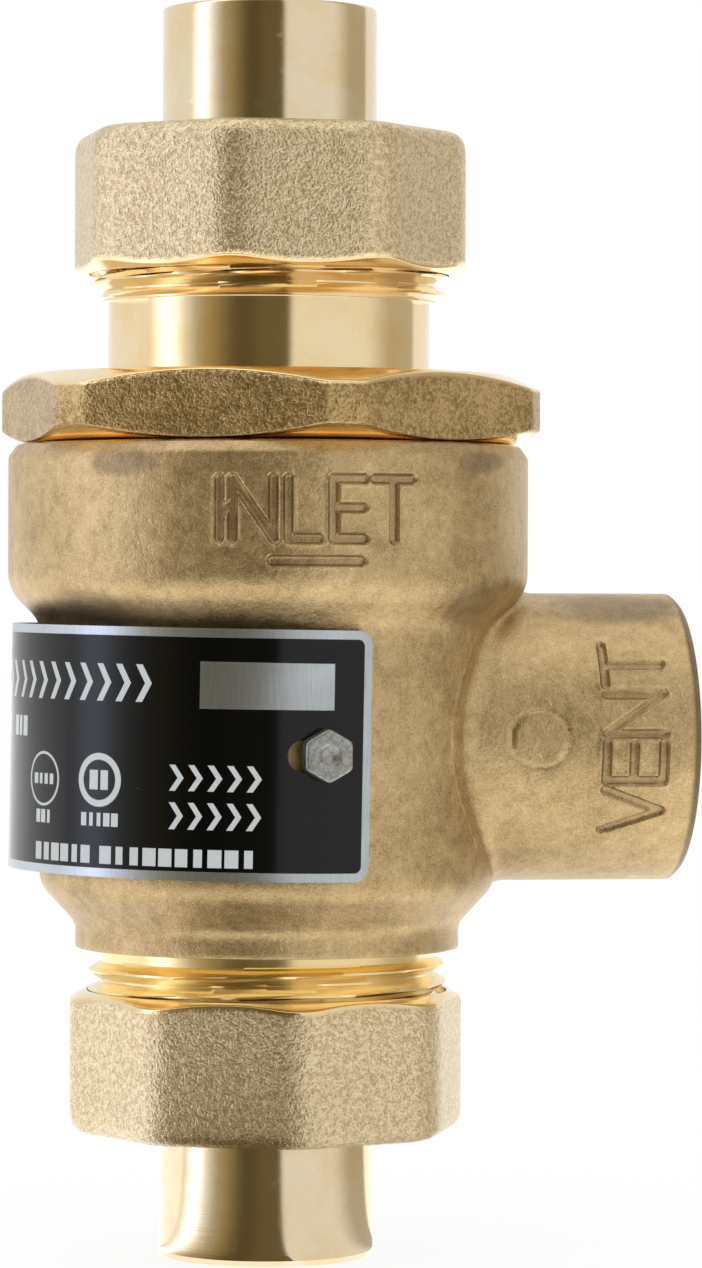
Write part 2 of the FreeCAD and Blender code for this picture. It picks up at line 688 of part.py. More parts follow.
def disc_holder(prefix, contact, guide):
    """The cup that carries the disc, with the stem that runs down through the guide's hub."""
    body = new_body(f"{prefix}_disc_holder")
    floor = f"{contact} - sizes.disc_thickness"
    cup_inside = "sizes.disc_radius + sizes.holder_clearance"
    hole_end = f"{contact} - sizes.screw_length - sizes.screw_clearance"
    turned(body, f"{prefix}_holder_turning", [
        ("0", f"{guide} - sizes.stem_overhang"),
        ("sizes.stem_radius", f"{guide} - sizes.stem_overhang"),
        ("sizes.stem_radius", f"{floor} - sizes.holder_base"),
        ("sizes.holder_radius", f"{floor} - sizes.holder_base"),
        ("sizes.holder_radius", f"{floor} + sizes.holder_rim_height"),
        (cup_inside, f"{floor} + sizes.holder_rim_height"),
        (cup_inside, floor),
        ("fits.screw_hole", floor),
        ("fits.screw_hole", hole_end),
        ("0", hole_end),
    ])
    return body


def disc_screw(prefix, contact):
    """The pan-head screw, with a plain slot, that holds the disc down in its cup."""
    body = new_body(f"{prefix}_disc_screw")
    chamfer = "sizes.screw_head_height / 3"
    top = f"{contact} + sizes.screw_head_height"
    turned(body, f"{prefix}_screw_turning", [
        ("0", f"{contact} - sizes.screw_length"),
        ("sizes.screw_radius", f"{contact} - sizes.screw_length"),
        ("sizes.screw_radius", contact),
        ("sizes.screw_head_radius", contact),
        ("sizes.screw_head_radius", f"{top} - {chamfer}"),
        (f"sizes.screw_head_radius - {chamfer}", top),
        ("0", top),
    ])
    sketch = new_sketch(body, f"{prefix}_screw_slot_outline", "XY_Plane", z=top)
    half = "sizes.screw_slot_width / 2"
    outline(sketch, ring_corners("-sizes.screw_head_radius", "sizes.screw_head_radius", f"-{half}", half))
    slot = body.newObject("PartDesign::Pocket", f"{prefix}_screw_slot")
    slot.Profile = sketch
    slot.setExpression("Length", "sizes.screw_slot_depth")
    finish(body, slot)
    return body


def check_guide(prefix, guide, bore):
    """The guide of one check: a ring in the bore, legs, and the hub that the stem slides in."""
    body = new_body(f"{prefix}_guide")
    ring_inner = f"{bore} - sizes.guide_ring_width"
    high = f"{guide} + sizes.guide_ring_height"
    ring = ring_corners(ring_inner, f"{bore} - sizes.guide_clearance", guide, high)
    turned(body, f"{prefix}_guide_ring", ring)
    sketch = new_sketch(body, f"{prefix}_guide_leg_outline", "XY_Plane", z=guide)
    half = "sizes.guide_leg_width / 2"
    middle_of_ring = f"{ring_inner} + (sizes.guide_ring_width - sizes.guide_clearance) / 2"
    middle_of_hub = "(sizes.hub_radius + fits.hub_bore) / 2"
    outline(sketch, ring_corners(middle_of_hub, middle_of_ring, f"-{half}", half))
    leg = body.newObject("PartDesign::Pad", f"{prefix}_guide_leg")
    leg.Profile = sketch
    leg.setExpression("Length", "sizes.guide_leg_height")
    finish(body, leg)
    polar_pattern(body, leg, GUIDE_LEGS)
    hub = ring_corners("fits.hub_bore", "sizes.hub_radius", guide, f"{guide} + sizes.hub_height")
    turned(body, f"{prefix}_guide_hub", hub)
    return body


def check_spring(prefix, contact, guide, turns):
    """The coil spring from the guide's legs up to the disc holder, its wire drawn with flats."""
    spring = doc.addObject("Part::Feature", f"{prefix}_spring_coil")
    spring.Label = f"{prefix}_spring"
    half_wire = sizes.spring_wire / 2
    low = spring.evalExpression(guide) + sizes.guide_leg_height + half_wire
    high = spring.evalExpression(contact) - sizes.disc_thickness - sizes.holder_base - half_wire
    count = round(getattr(sizes, turns) * SPRING_STEPS)
    corner = half_wire / math.cos(math.pi / SPRING_WIRE_SIDES)
    sections = []
    for number in range(count + 1):
        angle = math.radians(360 / SPRING_STEPS * number)
        outward = Vector(math.cos(angle), math.sin(angle), 0)
        middle = outward * sizes.spring_radius + Vector(0, 0, low + (high - low) * number / count)
        corners = []
        for side in range(SPRING_WIRE_SIDES + 1):
            turn = math.pi * (2 * side + 1) / SPRING_WIRE_SIDES
            corners.append(middle + (outward * math.cos(turn) + Vector(0, 0, math.sin(turn))) * corner)
        sections.append(Part.makePolygon(corners))
    spring.Shape = Part.makeLoft(sections, True, True)
    return spring


def secondary_seat():
    """The seat ring of the secondary check, with a groove for its O-ring."""
    body = new_body("secondary_seat")
    low = "levels.secondary_seat_low"
    middle = "levels.seat_o_ring_middle"
    groove_half = "(sizes.seat_o_ring_section + sizes.o_ring_room)"
    turned(body, "seat_turning", [
        ("sizes.seat_hole_radius", low),
        ("fits.seat_outer", low),
        ("fits.seat_outer", f"{middle} - {groove_half}"),
        ("fits.seat_o_ring_groove", f"{middle} - {groove_half}"),
        ("fits.seat_o_ring_groove", f"{middle} + {groove_half}"),
        ("fits.seat_outer", f"{middle} + {groove_half}"),
        ("fits.seat_outer", "levels.seat_stop"),
        ("sizes.seat_hole_radius", "levels.seat_stop"),
    ])
    return body


def retaining_ring():
    """The open spring ring in the outlet bore, which holds up the secondary check."""
    body = new_body("retaining_ring")
    low = "levels.retaining_ring_low"
    high = "levels.secondary_guide_low"
    corners = ring_corners("fits.retaining_ring_inner", "fits.retaining_ring_outer", low, high)
    turned(body, "retaining_ring_turning", corners, sweep="sizes.retaining_ring_sweep")
    return body


def nameplate():
    """The rolled plate: seated on the barrel at both ends, and standing off it in the middle."""
    body = new_body("nameplate")
    low = "levels.plate_middle - sizes.plate_height / 2"
    sketch = new_sketch(body, "plate_section", "XY_Plane", z=low)
    draw_plate_band(sketch)
    band = body.newObject("PartDesign::Pad", "plate_band")
    band.Profile = sketch
    band.setExpression("Length", "sizes.plate_height")
    finish(body, band)
    corners = body.newObject("PartDesign::Fillet", "plate_corners")
    corners.Base = (band, corner_edges(band.Shape))
    corners.setExpression("Radius", "sizes.plate_corner_radius")
    finish(body, corners)
    for side, shift in (("right", "-"), ("left", "+")):
        sketch = radial_sketch(body, f"plate_slot_{side}_outline", f"fits.{side}_screw_turn")
        draw_slot(sketch, f"{shift}sizes.plate_slot_shift")
        slot = body.newObject("PartDesign::Pocket", f"plate_slot_{side}")
        slot.Profile = sketch
        slot.Reversed = True
        slot.setExpression("Length", "2 * fits.plate_outer")
        finish(body, slot)
    middle = Vector(0, 0, levels.plate_middle)
    axis_angle = math.radians(sizes.plate_tilt_axis_angle)
    tilt_axis = Vector(math.cos(axis_angle), math.sin(axis_angle), 0)
    tilt = Rotation(tilt_axis, sizes.plate_tilt)
    turn = Rotation(Vector(0, 0, 1), sizes.plate_middle_angle)
    body.Placement = Placement(middle - tilt.multVec(middle), tilt * turn)
    return body


def draw_plate_band(sketch):
    """The band's two arcs and two ends, symmetric about local +X, round its own middle."""
    offset = sizes.plate_offset
    half_sweep = math.radians(sizes.plate_half_sweep)
    middle = Vector(offset, 0, 0)
    for radius in (fits.plate_inner, fits.plate_outer):
        sketch.addGeometry(Part.ArcOfCircle(
            Part.Circle(middle, Vector(0, 0, 1), radius), -half_sweep, half_sweep), False)
    for sign in (-1, 1):
        inner, outer = (
            middle + Vector(math.cos(half_sweep), sign * math.sin(half_sweep), 0) * radius
            for radius in (fits.plate_inner, fits.plate_outer)
        )
        sketch.addGeometry(Part.LineSegment(inner, outer), False)
    for line, arc_end in ((2, 1), (3, 2)):
        sketch.addConstraint(Sketcher.Constraint("Coincident", line, 1, 0, arc_end))
        sketch.addConstraint(Sketcher.Constraint("Coincident", line, 2, 1, arc_end))
    for arc, radius in ((0, "fits.plate_inner"), (1, "fits.plate_outer")):
        fix_point(sketch, arc, 3, "sizes.plate_offset", "0")
        value = float(sketch.evalExpression(radius))
        row = sketch.addConstraint(Sketcher.Constraint("Radius", arc, value))
        sketch.setExpression(f"Constraints[{row}]", radius)
        for arc_end in (1, 2):
            reach = f"sizes.plate_offset + {radius} * cos(sizes.plate_half_sweep)"
            value = float(sketch.evalExpression(reach))
            row = sketch.addConstraint(Sketcher.Constraint("DistanceX", -1, 1, arc, arc_end, value))
            sketch.setExpression(f"Constraints[{row}]", reach)


def draw_slot(sketch, shift):
    """A round-ended slot at the plate's middle height, moved sideways by the shift."""
    radius = "sizes.plate_slot_height / 2"
    reach = "(sizes.plate_slot_length - sizes.plate_slot_height) / 2"
    left = f"{shift} - {reach}"
    right = f"{shift} + {reach}"
    height = "levels.plate_middle"
    values = [float(sketch.evalExpression(text)) for text in (left, right, height, radius)]
    left_value, right_value, height_value, radius_value = values
    up = Vector(0, radius_value, 0)
    left_middle = Vector(left_value, height_value, 0)
    right_middle = Vector(right_value, height_value, 0)
    quarter = math.pi / 2
    normal = Vector(0, 0, 1)
    left_circle = Part.Circle(left_middle, normal, radius_value)
    right_circle = Part.Circle(right_middle, normal, radius_value)
    sketch.addGeometry(Part.ArcOfCircle(left_circle, quarter, 3 * quarter), False)
    sketch.addGeometry(Part.ArcOfCircle(right_circle, -quarter, quarter), False)
    sketch.addGeometry(Part.LineSegment(left_middle - up, right_middle - up), False)
    sketch.addGeometry(Part.LineSegment(right_middle + up, left_middle + up), False)
    joins = ((0, 2, 2, 1), (2, 2, 1, 1), (1, 2, 3, 1), (3, 2, 0, 1))
    for first, first_end, second, second_end in joins:
        sketch.addConstraint(Sketcher.Constraint("Tangent", first, first_end, second, second_end))
    fix_point(sketch, 0, 3, left, height)
    row = sketch.addConstraint(Sketcher.Constraint("DistanceX", -1, 1, 1, 3, right_value))
    sketch.setExpression(f"Constraints[{row}]", right)
    row = sketch.addConstraint(Sketcher.Constraint("Radius", 0, radius_value))
    sketch.setExpression(f"Constraints[{row}]", radius)
    sketch.addConstraint(Sketcher.Constraint("Horizontal", 2))


def corner_edges(shape):
    """The names of the plate's four short corner edges, which run through its thickness."""
    names = []
    for number, edge in enumerate(shape.Edges, start=1):
        flat = abs(edge.Vertexes[0].Z - edge.Vertexes[-1].Z) < 1e-4
        if flat and isinstance(edge.Curve, Part.Line):
            names.append(f"Edge{number}")
    return names


def plate_screw(side):
    """One hexagon-head screw of the nameplate, with its axis along its own angle."""
    head = doc.addObject("Part::Prism", f"{side}_screw_head")
    head.Polygon = HEXAGON_SIDES
    head.setExpression("Circumradius", "sizes.plate_screw_across_flats / 2 / cos(30)")
    head.setExpression("Height", "sizes.plate_screw_head_height")
    head.setExpression("Placement.Base.z", f"fits.{side}_screw_seat")
    shank = doc.addObject("Part::Cylinder", f"{side}_screw_shank")
    shank.setExpression("Radius", "sizes.plate_screw_radius")
    shank.setExpression("Height", f"fits.{side}_screw_seat - fits.plate_screw_tip")
    shank.setExpression("Placement.Base.z", "fits.plate_screw_tip")
    dimple = doc.addObject("Part::Cone", f"{side}_screw_dimple")
    dimple.Radius1 = 0
    dimple.setExpression("Radius2", "sizes.plate_screw_dimple_radius")
    dimple.setExpression("Height", "sizes.plate_screw_dimple_depth")
    dimple.setExpression(
        "Placement.Base.z",
        f"fits.{side}_screw_seat + sizes.plate_screw_head_height - sizes.plate_screw_dimple_depth",
    )
    whole = doc.addObject("Part::Fuse", f"{side}_screw_blank")
    whole.Base = head
    whole.Tool = shank
    screw = doc.addObject("Part::Cut", f"{side}_plate_screw")
    screw.Base = whole
    screw.Tool = dimple
    angle = math.radians(getattr(sizes, f"plate_screw_{side}_angle"))
    outward = Vector(math.cos(angle), math.sin(angle), 0)
    upward = Vector(0, 0, 1)
    turn = Rotation(upward, outward.cross(upward), outward, "ZXY")
    screw.Placement = Placement(Vector(0, 0, levels.plate_middle), turn)
    return screw


def nameplate_screws():
    """Both screws of the nameplate, as one group of separate solids."""
    group = doc.addObject("Part::Compound", "plate_screw_group")
    group.Label = "nameplate_screws"
    group.Links = [plate_screw("right"), plate_screw("left")]
    doc.recompute()
    return group


def write_parts():
    """Checks every object, then writes each labelled piece to its own file."""
    doc.recompute()
    for item in doc.Objects:
        if "Invalid" in item.State or "Error" in item.State:
            raise RuntimeError(f"{item.Label} failed: {item.State}")
    os.makedirs(OUTPUT_FOLDER, exist_ok=True)
    for piece in pieces:
        if piece.Shape.isNull() or not piece.Shape.isValid():
            raise RuntimeError(f"{piece.Label} has no sound shape")
    for piece in pieces:
        piece.Shape.exportStep(f"{OUTPUT_FOLDER}/{piece.Label}.step")
        print(piece.Label, len(piece.Shape.Solids), round(piece.Shape.Volume, 1))


outlet_tail = tailpiece("outlet_tailpiece")
inlet_tail = tailpiece("inlet_tailpiece")
turn_over(inlet_tail, "levels.overall", 0)
outlet_nut = union_nut("outlet_union_nut")
outlet_nut.setExpression("Placement.Base.z", "sizes.nut_setback")
outlet_nut.Placement.Rotation = Rotation(Vector(0, 0, 1), sizes.outlet_nut_turn)
inlet_nut = union_nut("inlet_union_nut")
turn_over(inlet_nut, "levels.overall - sizes.nut_setback", sizes.inlet_nut_turn)

PRIMARY = ("primary", "levels.diaphragm_web", "levels.riser_step")
SECONDARY = ("secondary", "levels.secondary_seat_low", "levels.secondary_guide_low")

pieces = [
    valve_body(),
    inlet_bonnet(),
    outlet_nut,
    inlet_nut,
    outlet_tail,
    inlet_tail,
    plain_ring("outlet_gasket", "sizes.gasket_inner_radius", "sizes.gasket_outer_radius",
               "sizes.tail_length", "levels.outlet_seat"),
    plain_ring("inlet_gasket", "sizes.gasket_inner_radius", "sizes.gasket_outer_radius",
               "levels.inlet_seat", "levels.inlet_seat + sizes.gasket_thickness"),
    o_ring("bonnet_o_ring", "fits.bonnet_o_ring", "sizes.bonnet_o_ring_section",
           "levels.bonnet_o_ring_middle"),
    inlet_strainer(),
    diaphragm(),
    plain_ring("slip_ring", "sizes.bonnet_cavity_radius", "fits.diaphragm_rim",
               "levels.slip_ring_low", "levels.skirt_low"),
    plain_ring("vent_seal_ring", "sizes.seal_inner_radius", "sizes.seal_outer_radius",
               "levels.riser_rim + sizes.seal_travel", "levels.diaphragm_web"),
    secondary_seat(),
    o_ring("secondary_seat_o_ring", "fits.seat_o_ring", "sizes.seat_o_ring_section",
           "levels.seat_o_ring_middle"),
    retaining_ring(),
    nameplate(),
    nameplate_screws(),
]
for (prefix, contact, guide), bore, turns in (
    (PRIMARY, "sizes.riser_bore_radius", "primary_spring_turns"),
    (SECONDARY, "sizes.outlet_bore_radius", "secondary_spring_turns"),
):
    pieces.append(check_disc(prefix, contact))
    pieces.append(disc_holder(prefix, contact, guide))
    pieces.append(disc_screw(prefix, contact))
    pieces.append(check_guide(prefix, guide, bore))
    pieces.append(check_spring(prefix, contact, guide, turns))
write_parts()
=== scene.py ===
import math

import bmesh
import bpy
import numpy as np
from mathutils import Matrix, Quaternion, Vector


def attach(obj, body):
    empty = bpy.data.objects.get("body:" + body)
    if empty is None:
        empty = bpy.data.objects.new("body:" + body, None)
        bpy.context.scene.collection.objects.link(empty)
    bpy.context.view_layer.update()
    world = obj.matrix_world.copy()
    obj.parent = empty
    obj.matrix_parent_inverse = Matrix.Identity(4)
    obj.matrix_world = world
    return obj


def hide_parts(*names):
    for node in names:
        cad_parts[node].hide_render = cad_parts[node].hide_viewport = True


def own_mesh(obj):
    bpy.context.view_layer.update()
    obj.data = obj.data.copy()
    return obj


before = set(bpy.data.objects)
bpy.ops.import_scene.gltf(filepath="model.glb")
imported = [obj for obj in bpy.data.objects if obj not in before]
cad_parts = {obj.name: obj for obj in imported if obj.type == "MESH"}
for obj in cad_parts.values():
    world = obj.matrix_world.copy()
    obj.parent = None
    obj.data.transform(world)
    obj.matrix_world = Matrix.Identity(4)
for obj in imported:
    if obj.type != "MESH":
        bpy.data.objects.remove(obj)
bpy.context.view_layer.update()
MM = 0.001

# Camera
# A long lens stands a little to the right of the valve's middle, level with the body's shoulder and
# dipped slightly. The picture is 1268 pixels high, and the focal length is counted in its pixels.
PICTURE_HIGH = 1268
FOCAL_PIXELS = 5000
SENSOR = 36.0
CAMERA_ANGLE = math.radians(-99.4)
CAMERA_DISTANCE = 585 * MM
CAMERA_ASIDE = 9.73 * MM
CAMERA_HEIGHT = 77.7 * MM
CAMERA_DIP = math.radians(0.504)
CAMERA_ROLL = math.radians(0.22)

toward_camera = Vector((math.cos(CAMERA_ANGLE), math.sin(CAMERA_ANGLE), 0))
camera_right = Vector((-toward_camera.y, toward_camera.x, 0))
sight = -toward_camera * math.cos(CAMERA_DIP) - Vector((0, 0, math.sin(CAMERA_DIP)))
camera = bpy.data.objects.new("camera", bpy.data.cameras.new("camera"))
camera.data.sensor_width = SENSOR
camera.data.lens = SENSOR * FOCAL_PIXELS / PICTURE_HIGH
camera.location = toward_camera * CAMERA_DISTANCE + camera_right * CAMERA_ASIDE
camera.location.z = CAMERA_HEIGHT
level_camera = sight.to_track_quat("-Z", "Y")
camera.rotation_euler = (level_camera @ Quaternion((0, 0, 1), CAMERA_ROLL)).to_euler()
bpy.context.collection.objects.link(camera)
bpy.context.scene.camera = camera
bpy.context.scene.view_settings.view_transform = "Standard"


# Studio
# White all round, with three tall cards that the polished brass shows as bands: a bright one at the left, a
# dark one on the camera's side and a pale one at the right. They go on over the floor for flat sight lines,
# as a sheet of gloss. Angles count rightward from the camera's direction.
FLOOR_HALF = 4.0
FLOOR_GLOW = 0.9
FLOOR_SHINE = 1.45
FLOOR_COLOUR = (0.93, 0.93, 0.92)
CARD_DISTANCE = 1.0
CARD_LOW = 0.001
CARD_HIGH = 2.0
CARD_COLUMNS = 25
GLOSS_START = 0.0128
GLOSS_HEIGHT = 0.0006
GLOSS_FULL = 0.046
GLOSS_FACING = (0.4, 0.75)
BRIGHT_CARD_ANGLES = (math.radians(-95), math.radians(-60))
DARK_CARD_ANGLES = (BRIGHT_CARD_ANGLES[1], math.radians(16.3))
PALE_CARD_ANGLES = (DARK_CARD_ANGLES[1], math.radians(126))
BRIGHT_CARD_TINT = (1.0, 1.04, 1.3)
DARK_CARD_TINT = (1.0, 0.81, 0.42)
PALE_CARD_TINT = (0.95, 0.94, 0.93)
GREY_CARD_TINT = (0.56, 0.51, 0.42)
BRIGHT_PEAK = 2.2
BRIGHT_RISE = (-94, -77)
BRIGHT_FALL = (-75, -60)
DARK_QUICK_FALL = (-65, -47)
DARK_SLOW_FALL = (-52, -18)
DARK_LIFT = (-14, -2)
DARK_WARMING = (-60, -38)
PALE_GREYING = (70, 100)
VALVE_MIDDLE = Vector((0, 0, 0.08))
TOP_BOX = {"angle": math.radians(-30), "distance": 0.5, "height": 1.3, "size": 1.2, "level": 0.55}
WHITE = (1.0, 1.0, 1.0)
BLACK = (0.0, 0.0, 0.0)


class Field:
    """A value, colour or vector that varies over a surface. Sums on it add Math nodes."""

    def __init__(self, finish, socket):
        self.finish = finish
        self.socket = socket

    def math(self, operation, first, second=0.0, third=0.0):
        return self.finish.node("ShaderNodeMath", {"operation": operation}, first, second, third)

    def __add__(self, other):
        return self.math("ADD", self, other)

    def __radd__(self, other):
        return self.math("ADD", other, self)

    def __sub__(self, other):
        return self.math("SUBTRACT", self, other)

    def __rsub__(self, other):
        return self.math("SUBTRACT", other, self)

    def __mul__(self, other):
        return self.math("MULTIPLY", self, other)

    def __rmul__(self, other):
        return self.math("MULTIPLY", other, self)

    def __abs__(self):
        return self.math("ABSOLUTE", self)

    def __lt__(self, other):
        return self.math("LESS_THAN", self, other)

    def __mod__(self, other):
        return self.math("FLOORED_MODULO", self, other)

    def most(self, other):
        return self.math("MAXIMUM", self, other)

    def between(self, low, high, start=0.0, end=1.0):
        """Runs smoothly from start to end as the value goes from low to high."""
        settings = {"interpolation_type": "SMOOTHSTEP"}
        return self.finish.node("ShaderNodeMapRange", settings, self, low, high, start, end)


class Finish:
    """A material, or the world, whose nodes are added by plain sums and by node()."""

    def __init__(self, name, owner=None):
        self.owner = owner or bpy.data.materials.new(name)
        self.owner.use_nodes = True
        self.owner.node_tree.nodes.clear()
        self.owner.node_tree.links.clear()

    def node(self, kind, settings, *inputs, output=0, **named):
        """A node of this type: its settings are set first, then its sockets in order or by name."""
        made = self.owner.node_tree.nodes.new(kind)
        for key, value in settings.items():
            setattr(made, key, value)
        for number, value in enumerate(inputs):
            self.feed(made.inputs[number], value)
        for label, value in named.items():
            self.feed(made.inputs[label.replace("_", " ")], value)
        return Field(self, made.outputs[output])

    def feed(self, socket, value):
        """Links a field into the socket, or sets a plain value on it."""
        if isinstance(value, Field):
            self.owner.node_tree.links.new(value.socket, socket)
        elif value is not None:
            socket.default_value = value

    def colour(self, factor, first, second):
        """The first colour turning into the second as the factor goes from 0 to 1."""
        mixed = self.owner.node_tree.nodes.new("ShaderNodeMix")
        mixed.data_type = "RGBA"
        for number, value in ((0, factor), (6, first), (7, second)):
            if isinstance(value, tuple):
                value = (*value, 1.0)
            self.feed(mixed.inputs[number], value)
        return Field(self, mixed.outputs[2])

    def place(self):
        """The point on the surface, in metres in the object's own frame."""
        return self.node("ShaderNodeTexCoord", {}, output=3)

    def scaled(self, vector, *factors):
        """The vector with each direction multiplied by its own factor."""
        return self.node("ShaderNodeVectorMath", {"operation": "MULTIPLY"}, vector, factors)

    def split(self, vector):
        """The vector's three parts."""
        apart = self.owner.node_tree.nodes.new("ShaderNodeSeparateXYZ")
        self.feed(apart.inputs[0], vector)
        return [Field(self, socket) for socket in apart.outputs]

    def noise(self, vector, size, detail=2.0, roughness=0.5, distortion=0.0):
        """Cloudy noise from 0 to 1 with features of about this size in metres."""
        return self.node("ShaderNodeTexNoise", {}, Vector=vector, Scale=1 / size, Detail=detail,
                         Roughness=roughness, Distortion=distortion)

    def attribute(self, name):
        """A value that the mesh holds for each of its points."""
        return self.node("ShaderNodeAttribute", {"attribute_name": name}, output=2)

    def bump(self, height, depth, below=None):
        """The surface's direction where the height, from 0 to 1, stands this deep in metres."""
        return self.node("ShaderNodeBump", {}, Strength=1.0, Distance=depth, Height=height, Normal=below)

    def output(self, shader):
        """Ends the material in this shader."""
        owned_by = "World" if isinstance(self.owner, bpy.types.World) else "Material"
        end = self.owner.node_tree.nodes.new("ShaderNodeOutput" + owned_by)
        self.feed(end.inputs["Surface"], shader)
        return self.owner

    def principled(self, **named):
        """Ends the material in a Principled shader with these sockets."""
        return self.output(self.node("ShaderNodeBsdfPrincipled", {}, **named))


def floor_finish():
    """Pale floor: matt, lit up to the background's white for the camera and brighter for reflections."""
    finish = Finish("studio_floor")
    rays = finish.owner.node_tree.nodes.new("ShaderNodeLightPath")
    camera_ray, glossy_ray, transmission_ray = (
        Field(finish, rays.outputs[label])
        for label in ("Is Camera Ray", "Is Glossy Ray", "Is Transmission Ray")
    )
    seen = camera_ray.most(glossy_ray).most(transmission_ray)
    matt = finish.node("ShaderNodeBsdfDiffuse", {}, Color=(*FLOOR_COLOUR, 1.0))
    glow = finish.node("ShaderNodeEmission", {}, Color=(1.0, 1.0, 1.0, 1.0), Strength=1.0)
    shine = finish.node("ShaderNodeEmission", {}, Color=(1.0, 1.0, 1.0, 1.0), Strength=FLOOR_SHINE)
    glow = finish.node("ShaderNodeMixShader", {}, glossy_ray, glow, shine)
    return finish.output(finish.node("ShaderNodeMixShader", {}, seen * FLOOR_GLOW, matt, glow))


def card_turn(finish):
    """The angle of the point rightward from the camera's direction."""
    x, y, _ = finish.split(finish.place())
    return (x.math("ARCTAN2", y, x) - CAMERA_ANGLE + math.pi) % (2 * math.pi) - math.pi


def bright_level(finish, turn):
    """Brightest in its middle, and as bright as the white all round at its edges."""
    rise = turn.between(*map(math.radians, BRIGHT_RISE), 0.0, 0.9)
    fall = turn.between(*map(math.radians, BRIGHT_FALL), 0.0, 0.9)
    return finish.colour(rise - fall, WHITE, tuple(BRIGHT_PEAK * part for part in BRIGHT_CARD_TINT))


def dark_level(finish, turn):
    """Nearly white at its left edge, falls quickly and then slowly, a little lighter near its middle."""
    level = turn.between(*map(math.radians, DARK_QUICK_FALL), 1.0, 0.48)
    level = level * turn.between(*map(math.radians, DARK_SLOW_FALL), 1.0, 0.25)
    level = level + turn.between(*map(math.radians, DARK_LIFT), 0.0, 0.04)
    tint = finish.colour(turn.between(*map(math.radians, DARK_WARMING)), WHITE, DARK_CARD_TINT)
    return finish.colour(level, BLACK, tint)


def pale_level(finish, turn):
    """Pale, turning grey and warmer toward its far end."""
    return finish.colour(turn.between(*map(math.radians, PALE_GREYING)), PALE_CARD_TINT, GREY_CARD_TINT)


def card_finish(name, level_of):
    """A card that glows with its own level."""
    finish = Finish(name)
    level = level_of(finish, card_turn(finish))
    return finish.output(finish.node("ShaderNodeEmission", {}, Color=level, Strength=1.0))


def gloss_finish(name, level_of):
    """The card's image in the glossy floor: clear when seen steeply, except close to the valve."""
    finish = Finish(name)
    facing = finish.node("ShaderNodeLayerWeight", {}, Blend=0.5, output=1)
    away = finish.node("ShaderNodeVectorMath", {"operation": "LENGTH"}, finish.place(), output=1)
    shown = (away < GLOSS_FULL).most(facing.between(*GLOSS_FACING))
    clear = finish.node("ShaderNodeBsdfTransparent", {})
    glow = finish.node("ShaderNodeEmission", {}, Color=level_of(finish, card_turn(finish)), Strength=1.0)
    return finish.output(finish.node("ShaderNodeMixShader", {}, shown, clear, glow))


def add_sheet(name, corners, material):
    """A flat or bent sheet through rows of corner points, given in metres."""
    grid = np.array(corners, float)
    rows, columns = grid.shape[:2]
    index = np.arange(rows * columns).reshape(rows, columns)
    quads = np.stack([index[:-1, :-1], index[:-1, 1:], index[1:, 1:], index[1:, :-1]], axis=-1)
    mesh = bpy.data.meshes.new(name)
    mesh.from_pydata(grid.reshape(-1, 3).tolist(), [], quads.reshape(-1, 4).tolist())
    mesh.materials.append(material)
    sheet = bpy.data.objects.new(name, mesh)
    bpy.context.collection.objects.link(sheet)
    return sheet


def add_soft_box(name, place, target, size, level):
    """A lamp as bright as a white wall times the level. Its power is four times its area and level."""
    lamp = bpy.data.lights.new(name, "AREA")
    lamp.shape = "RECTANGLE"
    lamp.size, lamp.size_y = size
    lamp.energy = 4 * size[0] * size[1] * level
    box = bpy.data.objects.new(name, lamp)
    box.location = place
    box.rotation_euler = (target - place).to_track_quat("-Z", "Y").to_euler()
    bpy.context.collection.objects.link(box)


def from_camera(angle, distance, height):
    """The place at this angle rightward from the camera's, seen from the valve's axis."""
    turned = CAMERA_ANGLE + angle
    return Vector((math.cos(turned) * distance, math.sin(turned) * distance, height))


studio_world = bpy.data.worlds.new("studio")
bpy.context.scene.world = studio_world
sky = Finish("studio", studio_world)
sky.output(sky.node("ShaderNodeBackground", {}, Color=(1.0, 1.0, 1.0, 1.0), Strength=1.0))

floor_corners = [[(x, y, 0) for x in (-FLOOR_HALF, FLOOR_HALF)] for y in (-FLOOR_HALF, FLOOR_HALF)]
add_sheet("studio_floor", floor_corners, floor_finish())

for card_name, card_angles, level_of in (
    ("bright_card", BRIGHT_CARD_ANGLES, bright_level),
    ("dark_card", DARK_CARD_ANGLES, dark_level),
    ("pale_card", PALE_CARD_ANGLES, pale_level),
):
    card_turns = np.linspace(*card_angles, CARD_COLUMNS)
    for part_name, part_finish, edges in (
        (card_name, card_finish, ((CARD_DISTANCE, CARD_LOW), (CARD_DISTANCE, CARD_HIGH))),
        (card_name + "_gloss", gloss_finish, ((GLOSS_START, GLOSS_HEIGHT), (CARD_DISTANCE, GLOSS_HEIGHT))),
    ):
        corners = [[from_camera(angle, *edge) for angle in card_turns] for edge in edges]
        card = add_sheet(part_name, corners, part_finish(part_name, level_of))
        card.visible_camera = False
        card.visible_diffuse = False
        card.visible_shadow = False

top_size = (TOP_BOX["size"], TOP_BOX["size"])
top_place = from_camera(TOP_BOX["angle"], TOP_BOX["distance"], TOP_BOX["height"])
add_soft_box("top_box", top_place, VALVE_MIDDLE, top_size, TOP_BOX["level"])


